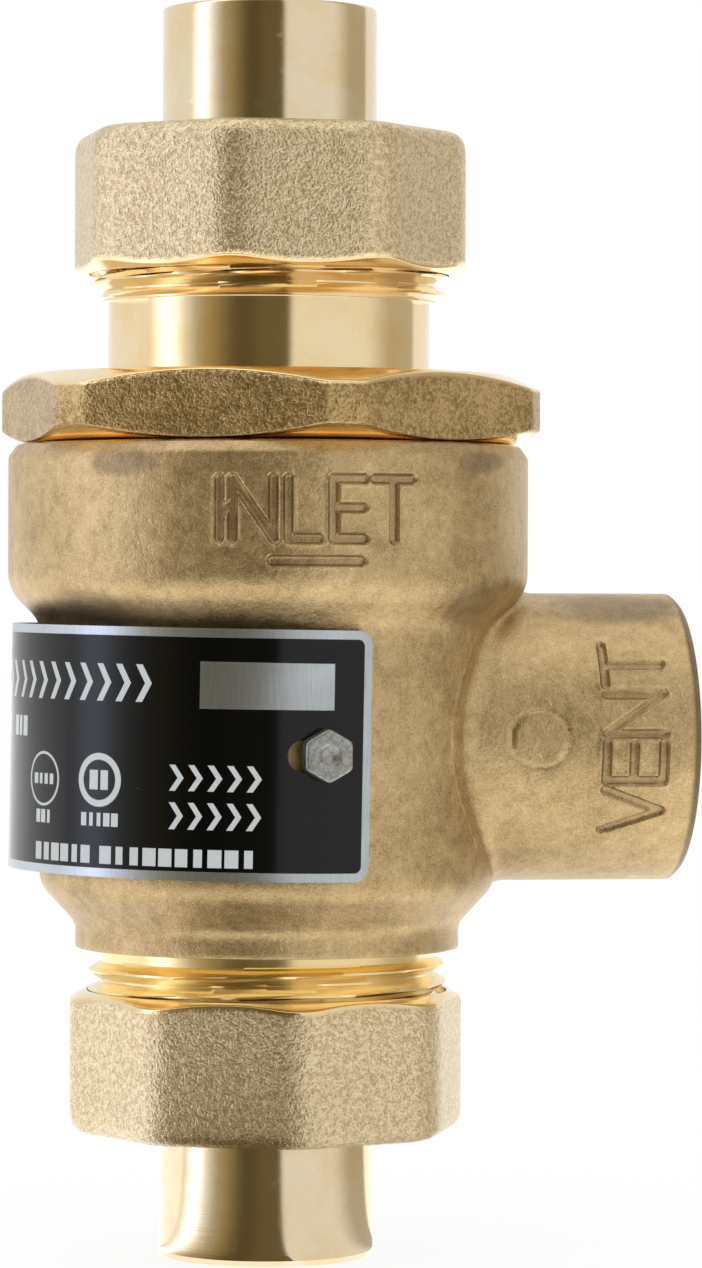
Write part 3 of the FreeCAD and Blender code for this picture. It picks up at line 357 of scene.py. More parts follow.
# Valve body
# One casting of yellow brass, sand blasted, then bored and threaded. It holds both checks and carries
# the vent boss on its right. INLET and VENT are sunk into it, and handling has nicked it. Shade is painted
# into its creases and round the vent's mouth, and the sunk letters are darker.
OUTLET_SEAT = 22.5
THREAD_ROOT = 19.475
THREAD_CREST = 20.955
THREAD_PITCH = 2.309
THREAD_LEAD_IN = 0.8
OUTLET_THREAD_RISE = 1.0
COLLAR_LOW = 36.0
CONE_LOW = 38.9
COLLAR_RADIUS = 22.4
BARREL_LOW = 43.4
BARREL_HIGH = 73.9
BARREL_RADIUS = 26.6
CUP_LOW = 77.65
CUP_HIGH = 93.05
CUP_RADIUS = 30.35
LIP_RADIUS = 29.3
BODY_TOP = 94.5
BONNET_SEAT_RADIUS = 27.0
LEDGE = 84.0
CHAMBER_RADIUS = 23.0
CHAMBER_FLOOR = 49.5
RISER_OUTER = 16.5
RISER_BORE = 14.0
RISER_RIM = 81.77
RISER_STEP = 64.0
THROAT_RADIUS = 12.0
SEAT_STOP = 52.0
OUTLET_BORE = 13.5
GROOVE_RADIUS = 14.3
GROOVE_LOW = 30.3
GROOVE_HIGH = 31.4

VENT_AXIS = 60.5
VENT_REACH = 48.3
VENT_RADIUS = 16.9
VENT_CHAMFER = 0.8
VENT_BORE = 10.5
VENT_PASSAGE = 8.5
VENT_THREAD_START = 31.9
VENT_PASSAGE_END = 19.75
VENT_PITCH = 1.814
VENT_THREAD_DEPTH = 0.95
FILLET_SOFTNESS = 1.7
FILLET_REACH = 2.2
SKIRT_SINK = 0.5
CAP_DEPTH = 1.2

# Words: letter, where it starts and its width, in millimetres along the surface from the camera's side
LETTERS = {
    "I": [(0.5, 0, 0.5, 1)],
    "N": [(0, 0, 0, 1), (0, 1, 1, 0), (1, 0, 1, 1)],
    "L": [(0, 1, 0, 0), (0, 0, 1, 0)],
    "E": [(0, 0, 0, 1), (0, 0, 1, 0), (0, 0.52, 0.95, 0.52), (0, 1, 1, 1)],
    "T": [(0, 1, 1, 1), (0.5, 0, 0.5, 1)],
    "V": [(0, 1, 0.5, 0), (0.5, 0, 1, 1)],
}
INLET_WORD = [("I", -5.5, 1.0), ("N", -3.5, 4.6), ("L", 2.8, 3.5), ("E", 7.9, 3.6), ("T", 12.8, 4.7)]
INLET_LOW = 83.4
INLET_HIGH = 90.1
INLET_STROKE = 1.1
INLET_DEPTH = 0.5
CASTING_FLAW = (-5.0, 86.2, -3.5, 87.5)
UNDERLINE = (0.9, 80.95, 11.2, 80.95)
VENT_WORD = [("V", -11.2, 5.4), ("E", -4.7, 4.4), ("N", 0.8, 4.6), ("T", 6.6, 5.1)]
VENT_WORD_FOOT = 43.7
VENT_WORD_TOP = 37.0
VENT_STROKE = 1.0
VENT_DEPTH = 0.42
PAD_PLACE = (0.2, 29.2)
PAD_RADIUS = 3.2
PAD_HEIGHT = 0.1

SMOOTH_EDGE = math.radians(38)
HALF_SIDE = 0.48
TINY = 1e-6


def carry_outline(corners, columns):
    """An outline carried round an axis, as (rows, columns) arrays of radius, height and machined.

    A corner is (radius, height, softness, rows, machined). The parabola that leaves one side and joins the
    next at the softness from the corner takes the corner's place. The side after it is divided evenly into
    this many rows, which are cut metal where machined is 1 and as cast or forged where it is 0. Radius and
    height are one number, or one for each column. The last corner joins the first.
    """
    places = [
        np.stack([corner[0] + np.zeros(columns), corner[1] + np.zeros(columns)]) for corner in corners
    ]
    count = len(corners)
    starts = []
    ends = []
    for number, corner in enumerate(corners):
        for sides, other in ((starts, number - 1), (ends, (number + 1) % count)):
            side = places[other] - places[number]
            share = np.minimum(corner[2] / np.maximum(np.hypot(*side), TINY), HALF_SIDE)
            sides.append(places[number] + side * share)
    rows = []
    cut = []
    for number, (_, _, softness, divisions, machined) in enumerate(corners):
        bend = np.linspace(0, 1, 3 + int(softness * 3) if softness else 1)[:, None, None]
        rows.append((1 - bend) ** 2 * starts[number] + 2 * bend * (1 - bend) * places[number]
                    + bend ** 2 * ends[number])
        onward = np.linspace(0, 1, divisions + 1)[1:-1][:, None, None]
        rows.append(ends[number] + onward * (starts[(number + 1) % count] - ends[number]))
        cut.append(np.full(len(bend) + len(onward), machined, float))
    whole = np.concatenate(rows)
    return whole[:, 0], whole[:, 1], np.concatenate(cut)[:, None] + np.zeros(columns)


def spin(radius, height, angle):
    """Points at this radius and height, turned round the upright axis by the angle of each column."""
    return np.stack([radius * np.cos(angle), radius * np.sin(angle), height], axis=-1)


def build_mesh(name, points, poles=None):
    """A closed mesh over a grid of points in millimetres, joined round its columns. Without poles the last
    row joins the first. With two poles each end of the rows gets a fan of triangles to its own pole."""
    rows, columns = points.shape[:2]
    index = np.arange(rows * columns).reshape(rows, columns)
    beyond = np.roll(index, -1, axis=0)
    if poles is not None:
        index, beyond = index[:-1], beyond[:-1]
    quads = np.stack([index, np.roll(index, -1, axis=1), np.roll(beyond, -1, axis=1), beyond], axis=-1)
    faces = quads.reshape(-1, 4).tolist()
    corners = points.reshape(-1, 3)
    if poles is not None:
        first = index[0]
        last = beyond[-1]
        poles_start = rows * columns
        corners = np.concatenate([corners, np.array(poles, float)])
        start_fan = np.stack([np.roll(first, -1), first, np.full(columns, poles_start)], axis=-1)
        end_fan = np.stack([last, np.roll(last, -1), np.full(columns, poles_start + 1)], axis=-1)
        faces += start_fan.tolist() + end_fan.tolist()
    mesh = bpy.data.meshes.new(name)
    mesh.from_pydata((corners * MM).tolist(), [], faces)
    return mesh


def add_piece(name, mesh, material, **values):
    """An object with this mesh and material, smooth across blunt edges, with values for each point."""
    mesh.materials.clear()
    mesh.materials.append(material)
    mesh.polygons.foreach_set("use_smooth", np.ones(len(mesh.polygons), bool))
    mesh.set_sharp_from_angle(angle=SMOOTH_EDGE)
    for label, numbers in values.items():
        written = mesh.attributes.new(label, "FLOAT", "POINT")
        written.data.foreach_set("value", np.ascontiguousarray(numbers, np.float32).ravel())
    piece = bpy.data.objects.new(name, mesh)
    bpy.context.collection.objects.link(piece)
    return piece


def combine(mesh, tool, operation):
    """The mesh joined with the tool's (UNION) or with the tool's taken away (DIFFERENCE)."""
    target_object = bpy.data.objects.new("target", mesh)
    tool_object = bpy.data.objects.new("tool", tool)
    for item in (target_object, tool_object):
        bpy.context.collection.objects.link(item)
    modifier = target_object.modifiers.new("combine", "BOOLEAN")
    modifier.object = tool_object
    modifier.operation = operation
    modifier.solver = "MANIFOLD"
    graph = bpy.context.evaluated_depsgraph_get()
    result = bpy.data.meshes.new_from_object(target_object.evaluated_get(graph))
    for item in (target_object, tool_object):
        bpy.data.objects.remove(item)
    return result


def thread_ridge(height, angle, pitch):
    """A right-hand thread's profile from 0 in its root to 1 on its crest. The phase is the height over the
    pitch less the turn; the profile rises and falls evenly with it and is cut flat at top and bottom."""
    phase = (height / pitch - angle / (2 * np.pi)) % 1
    return np.clip((1 - np.abs(2 * phase - 1)) * 1.3 - 0.15, 0, 1)


def smooth_step(value, low, high):
    """Runs smoothly from 0 at low to 1 at high."""
    share = np.clip((value - low) / (high - low), 0, 1)
    return share * share * (3 - 2 * share)


def word_strokes(word, foot, top):
    """The strokes of a word, each (start across, start up, end across, end up) in millimetres."""
    return [
        (start + width * x0, foot + (top - foot) * y0, start + width * x1, foot + (top - foot) * y1)
        for letter, start, width in word
        for x0, y0, x1, y1 in LETTERS[letter]
    ]


def stroke_distance(across, up, strokes):
    """Distance from each point to the nearest stroke: to its own nearest point on the straight line."""
    nearest = np.full(across.shape, 1e3)
    for x0, y0, x1, y1 in strokes:
        length = (x1 - x0) ** 2 + (y1 - y0) ** 2
        along = np.clip(((across - x0) * (x1 - x0) + (up - y0) * (y1 - y0)) / length, 0, 1)
        nearest = np.minimum(nearest, np.hypot(across - x0 - along * (x1 - x0), up - y0 - along * (y1 - y0)))
    return nearest


def sunk(distance, stroke, depth):
    """Depth of a pressed stroke: full within it, rising at its edge to a low burr just outside."""
    floor = depth * smooth_step(stroke / 2 + 0.14 - distance, 0, 0.36)
    burr = 0.07 * np.exp(-((distance - stroke / 2 - 0.24) / 0.14) ** 2)
    return floor - burr


def inlet_word_distance(angle, height):
    """Distance on the cup from the nearest stroke of INLET or its underline."""
    across = (angle - CAMERA_ANGLE) * CUP_RADIUS
    strokes = word_strokes(INLET_WORD, INLET_LOW, INLET_HIGH) + [UNDERLINE, CASTING_FLAW]
    return stroke_distance(across, height, strokes)


def vent_word_distance(turn, reach):
    """Distance on the vent boss from the nearest stroke of VENT, which reads upward with its feet out."""
    return stroke_distance(turn * VENT_RADIUS, reach, word_strokes(VENT_WORD, VENT_WORD_FOOT, VENT_WORD_TOP))


def body_shell():
    """The turned form: its outline with the thread ridges on the outlet end, and INLET sunk in the cup."""
    fine = np.linspace(CAMERA_ANGLE - 0.24, CAMERA_ANGLE + 0.64, 158)
    coarse = np.linspace(fine[-1], fine[0] + 2 * np.pi, 104)[1:-1]
    angle = np.concatenate([fine, coarse])
    radius, height, machined = carry_outline([
        (THREAD_ROOT - THREAD_LEAD_IN, OUTLET_SEAT, 0, 2, 1),
        (THREAD_ROOT, OUTLET_SEAT + THREAD_LEAD_IN, 0, 52, 1),
        (THREAD_ROOT, COLLAR_LOW, 0.1, 3, 1),
        (COLLAR_RADIUS, COLLAR_LOW, 0.25, 4, 0),
        (COLLAR_RADIUS, CONE_LOW, 1.0, 3, 0),
        (BARREL_RADIUS, BARREL_LOW, 1.6, 14, 0),
        (BARREL_RADIUS, BARREL_HIGH, 1.5, 2, 0),
        (CUP_RADIUS, CUP_LOW, 2.1, 80, 0),
        (CUP_RADIUS, CUP_HIGH, 0.35, 2, 0),
        (LIP_RADIUS, BODY_TOP, 0.3, 3, 1),
        (BONNET_SEAT_RADIUS, BODY_TOP, 0, 2, 1),
        (BONNET_SEAT_RADIUS, LEDGE, 0, 1, 1),
        (CHAMBER_RADIUS, LEDGE, 0, 6, 0),
        (CHAMBER_RADIUS, CHAMBER_FLOOR, 0, 1, 0),
        (RISER_OUTER, CHAMBER_FLOOR, 0, 4, 0),
        (RISER_OUTER, RISER_RIM, 0, 1, 1),
        (RISER_BORE, RISER_RIM, 0, 2, 1),
        (RISER_BORE, RISER_STEP, 0, 1, 1),
        (THROAT_RADIUS, RISER_STEP, 0, 2, 1),
        (THROAT_RADIUS, SEAT_STOP, 0, 1, 1),
        (OUTLET_BORE, SEAT_STOP, 0, 2, 1),
        (OUTLET_BORE, GROOVE_HIGH, 0, 1, 1),
        (GROOVE_RADIUS, GROOVE_HIGH, 0, 1, 1),
        (GROOVE_RADIUS, GROOVE_LOW, 0, 1, 1),
        (OUTLET_BORE, GROOVE_LOW, 0, 2, 1),
        (OUTLET_BORE, OUTLET_SEAT, 0, 2, 1),
    ], len(angle))
    outside = radius > OUTLET_BORE + 2
    threaded = (height < COLLAR_LOW - 0.01) & outside & (radius > THREAD_ROOT - 0.01)
    run_out = smooth_step(COLLAR_LOW - height, 0.9, 1.9) * smooth_step(height, OUTLET_SEAT, OUTLET_SEAT + 1.5)
    ridges = (THREAD_CREST - THREAD_ROOT) * thread_ridge(height - OUTLET_THREAD_RISE, angle, THREAD_PITCH)
    radius = radius + np.where(threaded, ridges * run_out, 0)
    on_cup = (radius > CUP_RADIUS - 0.3) & (height > CUP_LOW)
    word = sunk(inlet_word_distance(angle, height), INLET_STROKE, INLET_DEPTH)
    radius = radius - np.where(on_cup, word, 0)
    outer = slice(0, int(np.argmax(height[:, 0] > BODY_TOP - 0.01)) + 1)
    return build_mesh("body_shell", spin(radius, height, angle)), height[outer, -1], radius[outer, -1]


def about_vent(radius, reach, turn):
    """Points round the vent's own axis: the turn counts from the front (-Y) upward."""
    return np.stack([reach, -radius * np.cos(turn), VENT_AXIS + radius * np.sin(turn)], axis=-1)


def vent_boss(heights, radii):
    """The boss as a solid plug, with its root filleted onto the body's own outline, VENT sunk in its front
    and the round mark of the core pin. The body's surface at a point stands out by the root of its radius
    squared less the point's y squared."""
    fine = np.linspace(math.radians(-42), math.radians(44), 136)
    coarse = np.linspace(fine[-1], fine[0] + 2 * np.pi, 74)[1:-1]
    turn = np.concatenate([fine, coarse])

    def body_reach(radius):
        local = np.interp(VENT_AXIS + radius * np.sin(turn), heights, radii)
        return np.sqrt(np.maximum(local ** 2 - (radius * np.cos(turn)) ** 2, 1))

    reach_of_skirt = VENT_RADIUS + FILLET_REACH
    radius, reach, _ = carry_outline([
        (3.0, VENT_REACH, 0, 2, 1),
        (VENT_RADIUS - VENT_CHAMFER, VENT_REACH, 0.1, 1, 1),
        (VENT_RADIUS, VENT_REACH - VENT_CHAMFER, 0.25, 56, 0),
        (VENT_RADIUS, 36.0, 0, 38, 0),
        (VENT_RADIUS, body_reach(VENT_RADIUS), FILLET_SOFTNESS, 1, 0),
        (reach_of_skirt, body_reach(reach_of_skirt), 0, 1, 0),
        (reach_of_skirt + 0.3, body_reach(reach_of_skirt + 0.3) - SKIRT_SINK, 0, 1, 0),
        (reach_of_skirt - 0.6, body_reach(reach_of_skirt - 0.6) - CAP_DEPTH, 0, 3, 0),
        (3.0, body_reach(3.0) - CAP_DEPTH, 0, 0, 0),
    ], len(turn))
    wall = (np.abs(radius - VENT_RADIUS) < 0.02) & (reach > body_reach(VENT_RADIUS) + 1)
    word = sunk(vent_word_distance(turn + 0 * reach, reach), VENT_STROKE, VENT_DEPTH)
    from_pad = np.hypot(turn * VENT_RADIUS - PAD_PLACE[0], reach - PAD_PLACE[1])
    pad = PAD_HEIGHT * (smooth_step(PAD_RADIUS - from_pad, -0.15, 0.25)
                        - 1.4 * np.exp(-((from_pad - PAD_RADIUS - 0.2) / 0.16) ** 2))
    radius = radius + np.where(wall, pad - word, 0)
    inner_end = float(np.interp(VENT_AXIS, heights, radii)) - CAP_DEPTH
    poles = [(VENT_REACH, 0, VENT_AXIS), (inner_end, 0, VENT_AXIS)]
    return build_mesh("vent_boss", about_vent(radius, reach, turn), poles)


def vent_port():
    """What is taken out for the vent: passage, cone, and the pipe thread's bore with its grooves."""
    turn = np.linspace(0, 2 * np.pi, 97)[:-1]
    radius, reach, _ = carry_outline([
        (2.0, VENT_REACH + 1, 0, 1, 1),
        (VENT_BORE + VENT_CHAMFER, VENT_REACH + 1, 0, 1, 1),
        (VENT_BORE + VENT_CHAMFER, VENT_REACH, 0, 2, 1),
        (VENT_BORE, VENT_REACH - VENT_CHAMFER, 0, 66, 1),
        (VENT_BORE, VENT_THREAD_START, 0, 2, 1),
        (VENT_PASSAGE, VENT_THREAD_START - VENT_BORE + VENT_PASSAGE, 0, 2, 0),
        (VENT_PASSAGE, VENT_PASSAGE_END, 0, 1, 0),
        (2.0, VENT_PASSAGE_END, 0, 0, 0),
    ], len(turn))
    in_thread = (reach > VENT_THREAD_START) & (reach < VENT_REACH - 0.1) & (radius < VENT_BORE + 0.7)
    fade = smooth_step(reach, VENT_THREAD_START + 0.3, VENT_THREAD_START + 3)
    grooves = VENT_THREAD_DEPTH * thread_ridge(reach, -turn, VENT_PITCH) * fade
    radius = radius + np.where(in_thread, grooves, 0)
    poles = [(VENT_REACH + 1, 0, VENT_AXIS), (VENT_PASSAGE_END, 0, VENT_AXIS)]
    return build_mesh("vent_port", about_vent(radius, reach, turn), poles)


def mesh_points(mesh):
    """The mesh's points in millimetres, one row each."""
    numbers = np.zeros(len(mesh.vertices) * 3, np.float32)
    mesh.vertices.foreach_get("co", numbers)
    return numbers.reshape(-1, 3) / MM


def sand_grain(finish, place, size):
    """The grain of a blasted or forged skin: fine noise with sharper crumbs in it."""
    fine = finish.noise(place, size, detail=2.0, roughness=0.6)
    crumbs = finish.noise(place, size * 2.2, detail=1.0, roughness=0.4)
    return fine * 0.65 + crumbs * 0.35


def turned_lines(finish, place):
    """The fine lines of a lathe: noise that runs round the axis and changes quickly along it."""
    stretched = finish.scaled(place, 40.0, 40.0, 9000.0)
    return finish.noise(stretched, 1.0, detail=3.0, roughness=0.65)


def ragged_patch(finish, place, middle, size, reach=0.35):
    """A patch of painted shade round this middle, in millimetres, with a ragged edge: 1 inside, 0 outside."""
    away = finish.node("ShaderNodeVectorMath", {"operation": "SUBTRACT"}, place,
                       tuple(part * MM for part in middle))
    away = finish.scaled(away, *(1 / (part * MM) for part in size))
    distance = finish.node("ShaderNodeVectorMath", {"operation": "LENGTH"}, away, output=1)
    ragged = finish.noise(place, 2.2 * MM, detail=4.0, roughness=0.65)
    return (distance + (ragged - 0.5) * 1.1).between(1.0 + reach, 1.0 - reach)


CAST_LIGHT = (0.74, 0.58, 0.34)
CAST_MIDDLE = (0.56, 0.40, 0.195)
CAST_DARK = (0.34, 0.235, 0.105)
# The dark colour for the painted shade and the darker sunk letters
CAST_DARKENED = (0.10, 0.075, 0.05)
CUT_BRASS = (0.85, 0.67, 0.35)
CAST_CLOUDS = 9 * MM
CAST_MOTTLE = 1.6 * MM
CAST_SPECK = 0.2 * MM
CAST_GRAIN = 0.21 * MM
CAST_GRAIN_DEPTH = 0.06 * MM
CAST_MOTTLE_DEPTH = 0.10 * MM
NICK_SIZE = 0.9 * MM
WORD_DARKENING = 0.25
# Strength of the painted shade at the vent's mouth rim
RIM_SHADE = 0.7
# Strength of the painted shade in the dark patches
PATCH_SHADE = 0.42
LATHE_LINE_DEPTH = 0.006 * MM
# Painted shade: dark patches under the cup's shoulder, above the plate and on top of the vent boss, and two
# high on the cup just under the bonnet's hexagon. Each is a middle and a size in millimetres.
SHADE_PATCHES = [
    ((40, -7, 75.8), (7, 5, 2.6)),
    ((20.4, -19.6, 76.3), (5, 5, 2.6)),
    ((-23, -16, 75.2), (6, 7, 2.4)),
    ((21.5, -21.5, 92.3), (4.5, 4.5, 1.2)),
    ((-19, -22, 92.0), (5, 4, 1.6)),
]


def cast_finish():
    """Blasted yellow brass: mottled satin, painted shade at the vent's mouth and in creases, darker sunk
    letters, pale nicks, and clean metal where it was cut.
    """
    finish = Finish("cast_brass")
    place = finish.place()
    clouds = finish.noise(place, CAST_CLOUDS, detail=3.0, roughness=0.6, distortion=0.6)
    mottle = finish.noise(place, CAST_MOTTLE, detail=3.0, roughness=0.7)
    speck = finish.noise(place, CAST_SPECK, detail=1.0, roughness=0.5)
    machined = finish.attribute("machined")
    engraved = finish.attribute("engraved")
    shade = clouds * 0.35 + mottle * 0.35 + speck * 0.3
    skin = finish.colour(shade.between(0.34, 0.56), CAST_DARK, CAST_MIDDLE)
    skin = finish.colour(shade.between(0.52, 0.72), skin, CAST_LIGHT)
    nicks = finish.noise(place, NICK_SIZE, detail=1.0, roughness=0.3, distortion=2.5).between(0.74, 0.79)
    skin = finish.colour(nicks * 0.7, skin, CAST_LIGHT)
    # Painted shade at the vent's mouth rim and in the dark patches, and darker sunk letters, all turn toward
    # one dark colour and a little rougher
    darkening = engraved * WORD_DARKENING + finish.attribute("rim") * RIM_SHADE
    for middle, size in SHADE_PATCHES:
        darkening = darkening.most(ragged_patch(finish, place, middle, size) * PATCH_SHADE)
    skin = finish.colour(darkening, skin, CAST_DARKENED)
    base = finish.colour(machined, skin, CUT_BRASS)
    rough = (mottle * 0.16 + 0.36 + darkening * 0.1).most(machined * 0) - machined * 0.24
    grain = sand_grain(finish, place, CAST_GRAIN)
    bumps = finish.bump(grain * (1 - machined), CAST_GRAIN_DEPTH)
    bumps = finish.bump(mottle * (1 - machined), CAST_MOTTLE_DEPTH, bumps)
    lines = finish.bump(turned_lines(finish, place) * machined, LATHE_LINE_DEPTH, bumps)
    return finish.principled(Base_Color=base, Metallic=1.0, Roughness=rough, Normal=lines,
                             Coat_Weight=0.3, Coat_Roughness=0.45)


shell, outline_heights, outline_radii = body_shell()
casting = combine(shell, vent_boss(outline_heights, outline_radii), "UNION")
casting = combine(casting, vent_port(), "DIFFERENCE")
body_points = mesh_points(casting)
body_x, body_y, body_z = body_points.T
body_angle = np.arctan2(body_y, body_x)
body_radius = np.hypot(body_x, body_y)
boss_turn = np.arctan2(body_z - VENT_AXIS, -body_y)
boss_radius = np.hypot(body_z - VENT_AXIS, body_y)
in_cup_word = (smooth_step(0.78 - inlet_word_distance(body_angle, body_z), 0, 0.5)
               * (body_radius > CUP_RADIUS - 0.6) * (body_z > CUP_LOW))
in_vent_word = (smooth_step(0.7 - vent_word_distance(boss_turn, body_x), 0, 0.5)
                * (np.abs(boss_radius - VENT_RADIUS) < 0.6) * (body_x > 30))
body_cut = ((body_z < COLLAR_LOW + 0.02) | (body_z > BODY_TOP - 0.15) | (body_x > VENT_REACH - 0.05)
            | ((boss_radius < VENT_BORE + 1) & (body_x > VENT_PASSAGE_END)))
# Painted shade: the boss darkens over the last 1.3 mm to its mouth and stays dark on its chamfer and end
# face, away from the bore
vent_rim_shade = smooth_step(body_x, VENT_REACH - 1.3, VENT_REACH - 0.7) * (boss_radius > VENT_BORE + 1.5)
body = add_piece("body_casting", casting, cast_finish(),
                 machined=body_cut, engraved=np.maximum(in_cup_word, in_vent_word), rim=vent_rim_shade)
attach(body, "valve")
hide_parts("valve_body")


# Bonnet
# A brass forging with a bevelled hexagon, screwed down into the body. Its chamfers, its neck and the
# inlet union's thread are turned, and the flats keep the forging's sandy skin.
HEXAGON_ACROSS = 57.7
HEXAGON_BEVEL = 4.6
HEXAGON_TURN = math.radians(7.0)
HEXAGON_HIGH = 102.6
HEXAGON_CHAMFER = 28.25
HEXAGON_SLOPE = math.tan(math.radians(24.5))
NECK_RADIUS = 18.75
NECK_HIGH = 111.1
INLET_SEAT = 122.9
SKIRT_RADIUS = 26.9
SKIRT_LOW = 87.2
O_RING_GROOVE = (90.6, 92.8, 24.75)
BONNET_BORE = 14.0
BONNET_BORE_LOW = 105.0
BONNET_CAVITY = 22.5
BONNET_CAVITY_HIGH = 97.0
STRAINER_SEAT = 16.6
STRAINER_LEDGE = 122.0
FORGED_LIGHT = (0.56, 0.39, 0.18)
FORGED_DARK = (0.28, 0.18, 0.065)
TURNED_BRASS = (0.83, 0.65, 0.38)
FORGED_GRAIN = 0.30 * MM
FORGED_CLOUDS = 6 * MM
FORGED_GRAIN_DEPTH = 0.24 * MM
BONNET_LINE_DEPTH = 0.005 * MM
TARNISH_DRIFT = 7 * MM


def polygon_radius(angle, sides, across, bevel, turn, softness):
    """Distance from the axis to a bevelled polygon's side. A flat stands half the across away, and a bevel
    cuts each corner; the two distances, each divided by the cosine of the angle from its own middle, are
    joined by the smooth minimum -k ln(exp(-a/k) + exp(-b/k))."""
    sector = 2 * np.pi / sides
    half = across / 2
    from_flat = (angle - turn + sector / 2) % sector - sector / 2
    from_corner = (angle - turn) % sector - sector / 2
    reach = half / np.cos(sector / 2) - bevel / 2 * np.tan(sector / 2)
    flat = half / np.cos(from_flat)
    cut = reach / np.cos(from_corner)
    least = np.minimum(flat, cut)
    return least - softness * np.log(np.exp((least - flat) / softness) + np.exp((least - cut) / softness))


def turned_colour(finish, place, tone):
    """Bright turned brass: the tone with faint drifting tarnish."""
    drift = finish.noise(place, TARNISH_DRIFT, detail=4.0, roughness=0.65, distortion=0.2)
    warm = tuple(part * share for part, share in zip(tone, (0.99, 0.95, 0.88)))
    pale = tuple(min(part * share, 1.0) for part, share in zip(tone, (1.01, 1.04, 1.10)))
    return finish.colour(drift.between(0.35, 0.65), warm, pale)


def bonnet_finish():
    """Sandy bronze-dark flats, and bright turned brass where it was cut."""
    finish = Finish("forged_brass")
    place = finish.place()
    machined = finish.attribute("machined")
    grain = sand_grain(finish, place, FORGED_GRAIN)
    clouds = finish.noise(place, FORGED_CLOUDS, detail=3.0, roughness=0.6)
    skin = finish.colour((grain * 0.7 + clouds * 0.3).between(0.40, 0.60), FORGED_DARK, FORGED_LIGHT)
    base = finish.colour(machined, skin, turned_colour(finish, place, TURNED_BRASS))
    rough = 0.31 - machined * 0.2
    lines = turned_lines(finish, place)
    bumps = finish.bump(grain * (1 - machined), FORGED_GRAIN_DEPTH)
    bumps = finish.bump(lines * machined, BONNET_LINE_DEPTH, bumps)
    return finish.principled(Base_Color=base, Metallic=1.0, Roughness=rough, Normal=bumps)


bonnet_angle = np.linspace(0, 2 * np.pi, 401)[:-1]
hexagon = polygon_radius(bonnet_angle, 6, HEXAGON_ACROSS, HEXAGON_BEVEL, HEXAGON_TURN, 0.12)
chamfer_inner = np.minimum(HEXAGON_CHAMFER, hexagon - 0.05)
chamfer_fall = (hexagon - chamfer_inner) * HEXAGON_SLOPE
groove_low, groove_high, groove_radius = O_RING_GROOVE
bonnet_radius, bonnet_height, bonnet_machined = carry_outline([
    (SKIRT_RADIUS, SKIRT_LOW, 0.1, 1, 1),
    (SKIRT_RADIUS, groove_low, 0, 1, 1),
    (groove_radius, groove_low, 0, 1, 1),
    (groove_radius, groove_high, 0, 1, 1),
    (SKIRT_RADIUS, groove_high, 0, 1, 1),
    (SKIRT_RADIUS, BODY_TOP, 0, 2, 1),
    (chamfer_inner, BODY_TOP, 0.06, 3, 1),
    (hexagon, BODY_TOP + chamfer_fall, 0.14, 16, 0),
    (hexagon, HEXAGON_HIGH - chamfer_fall, 0.14, 3, 1),
    (chamfer_inner, HEXAGON_HIGH, 0.06, 6, 1),
    (NECK_RADIUS, HEXAGON_HIGH, 0.5, 14, 1),
    (NECK_RADIUS, NECK_HIGH, 0.15, 1, 1),
    (THREAD_ROOT, NECK_HIGH, 0, 52, 1),
    (THREAD_ROOT, INLET_SEAT - THREAD_LEAD_IN, 0, 2, 1),
    (THREAD_ROOT - THREAD_LEAD_IN, INLET_SEAT, 0.1, 2, 1),
    (STRAINER_SEAT, INLET_SEAT, 0.1, 1, 1),
    (STRAINER_SEAT, STRAINER_LEDGE, 0, 1, 1),
    (BONNET_BORE, STRAINER_LEDGE, 0, 2, 1),
    (BONNET_BORE, BONNET_BORE_LOW, 0, 2, 1),
    (BONNET_CAVITY, BONNET_CAVITY_HIGH, 0, 2, 1),
    (BONNET_CAVITY, SKIRT_LOW, 0.1, 2, 1),
], len(bonnet_angle))
inlet_thread = (bonnet_height > NECK_HIGH + 0.01) & (np.abs(bonnet_radius - THREAD_ROOT) < 0.01)
inlet_run_out = (smooth_step(bonnet_height, NECK_HIGH + 0.2, NECK_HIGH + 0.7)
                 * smooth_step(INLET_SEAT - bonnet_height, 0.6, 2.0))
inlet_ridges = (THREAD_CREST - THREAD_ROOT) * thread_ridge(bonnet_height, bonnet_angle, THREAD_PITCH)
bonnet_radius = bonnet_radius + np.where(inlet_thread, inlet_ridges * inlet_run_out, 0)
bonnet_mesh = build_mesh("bonnet_forging", spin(bonnet_radius, bonnet_height, bonnet_angle))
bonnet = add_piece("bonnet_forging", bonnet_mesh, bonnet_finish(), machined=bonnet_machined)
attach(bonnet, "valve")
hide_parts("inlet_bonnet")


# Union nuts
# Two brass forgings with eight flats and a coarse sandy skin. The mouth is chamfered on a lathe, and the
# bore is threaded. They are alike, and the upper one hangs upside down.
NUT_ACROSS = 43.9
NUT_BEVEL = 2.85
NUT_HEIGHT = 16.7
NUT_SHOULDER = 2.6
NUT_BORE = 21.055
NUT_MOUTH_LAND = 0.3
NUT_SLOPE = math.tan(math.radians(30))
NUT_ON_TAIL = 12.9
NUT_FLOOR = 3.1
NUT_SETBACK = 14.4
OVERALL = 145.4
INLET_NUT_TURN = math.radians(2.8)
OUTLET_NUT_TURN = math.radians(24.2)
NUT_THREAD_DEPTH = 1.25
NUT_LIGHT = (0.78, 0.64, 0.41)
NUT_DARK = (0.50, 0.38, 0.21)
NUT_GRAIN = 0.28 * MM
NUT_GRAIN_DEPTH = 0.24 * MM


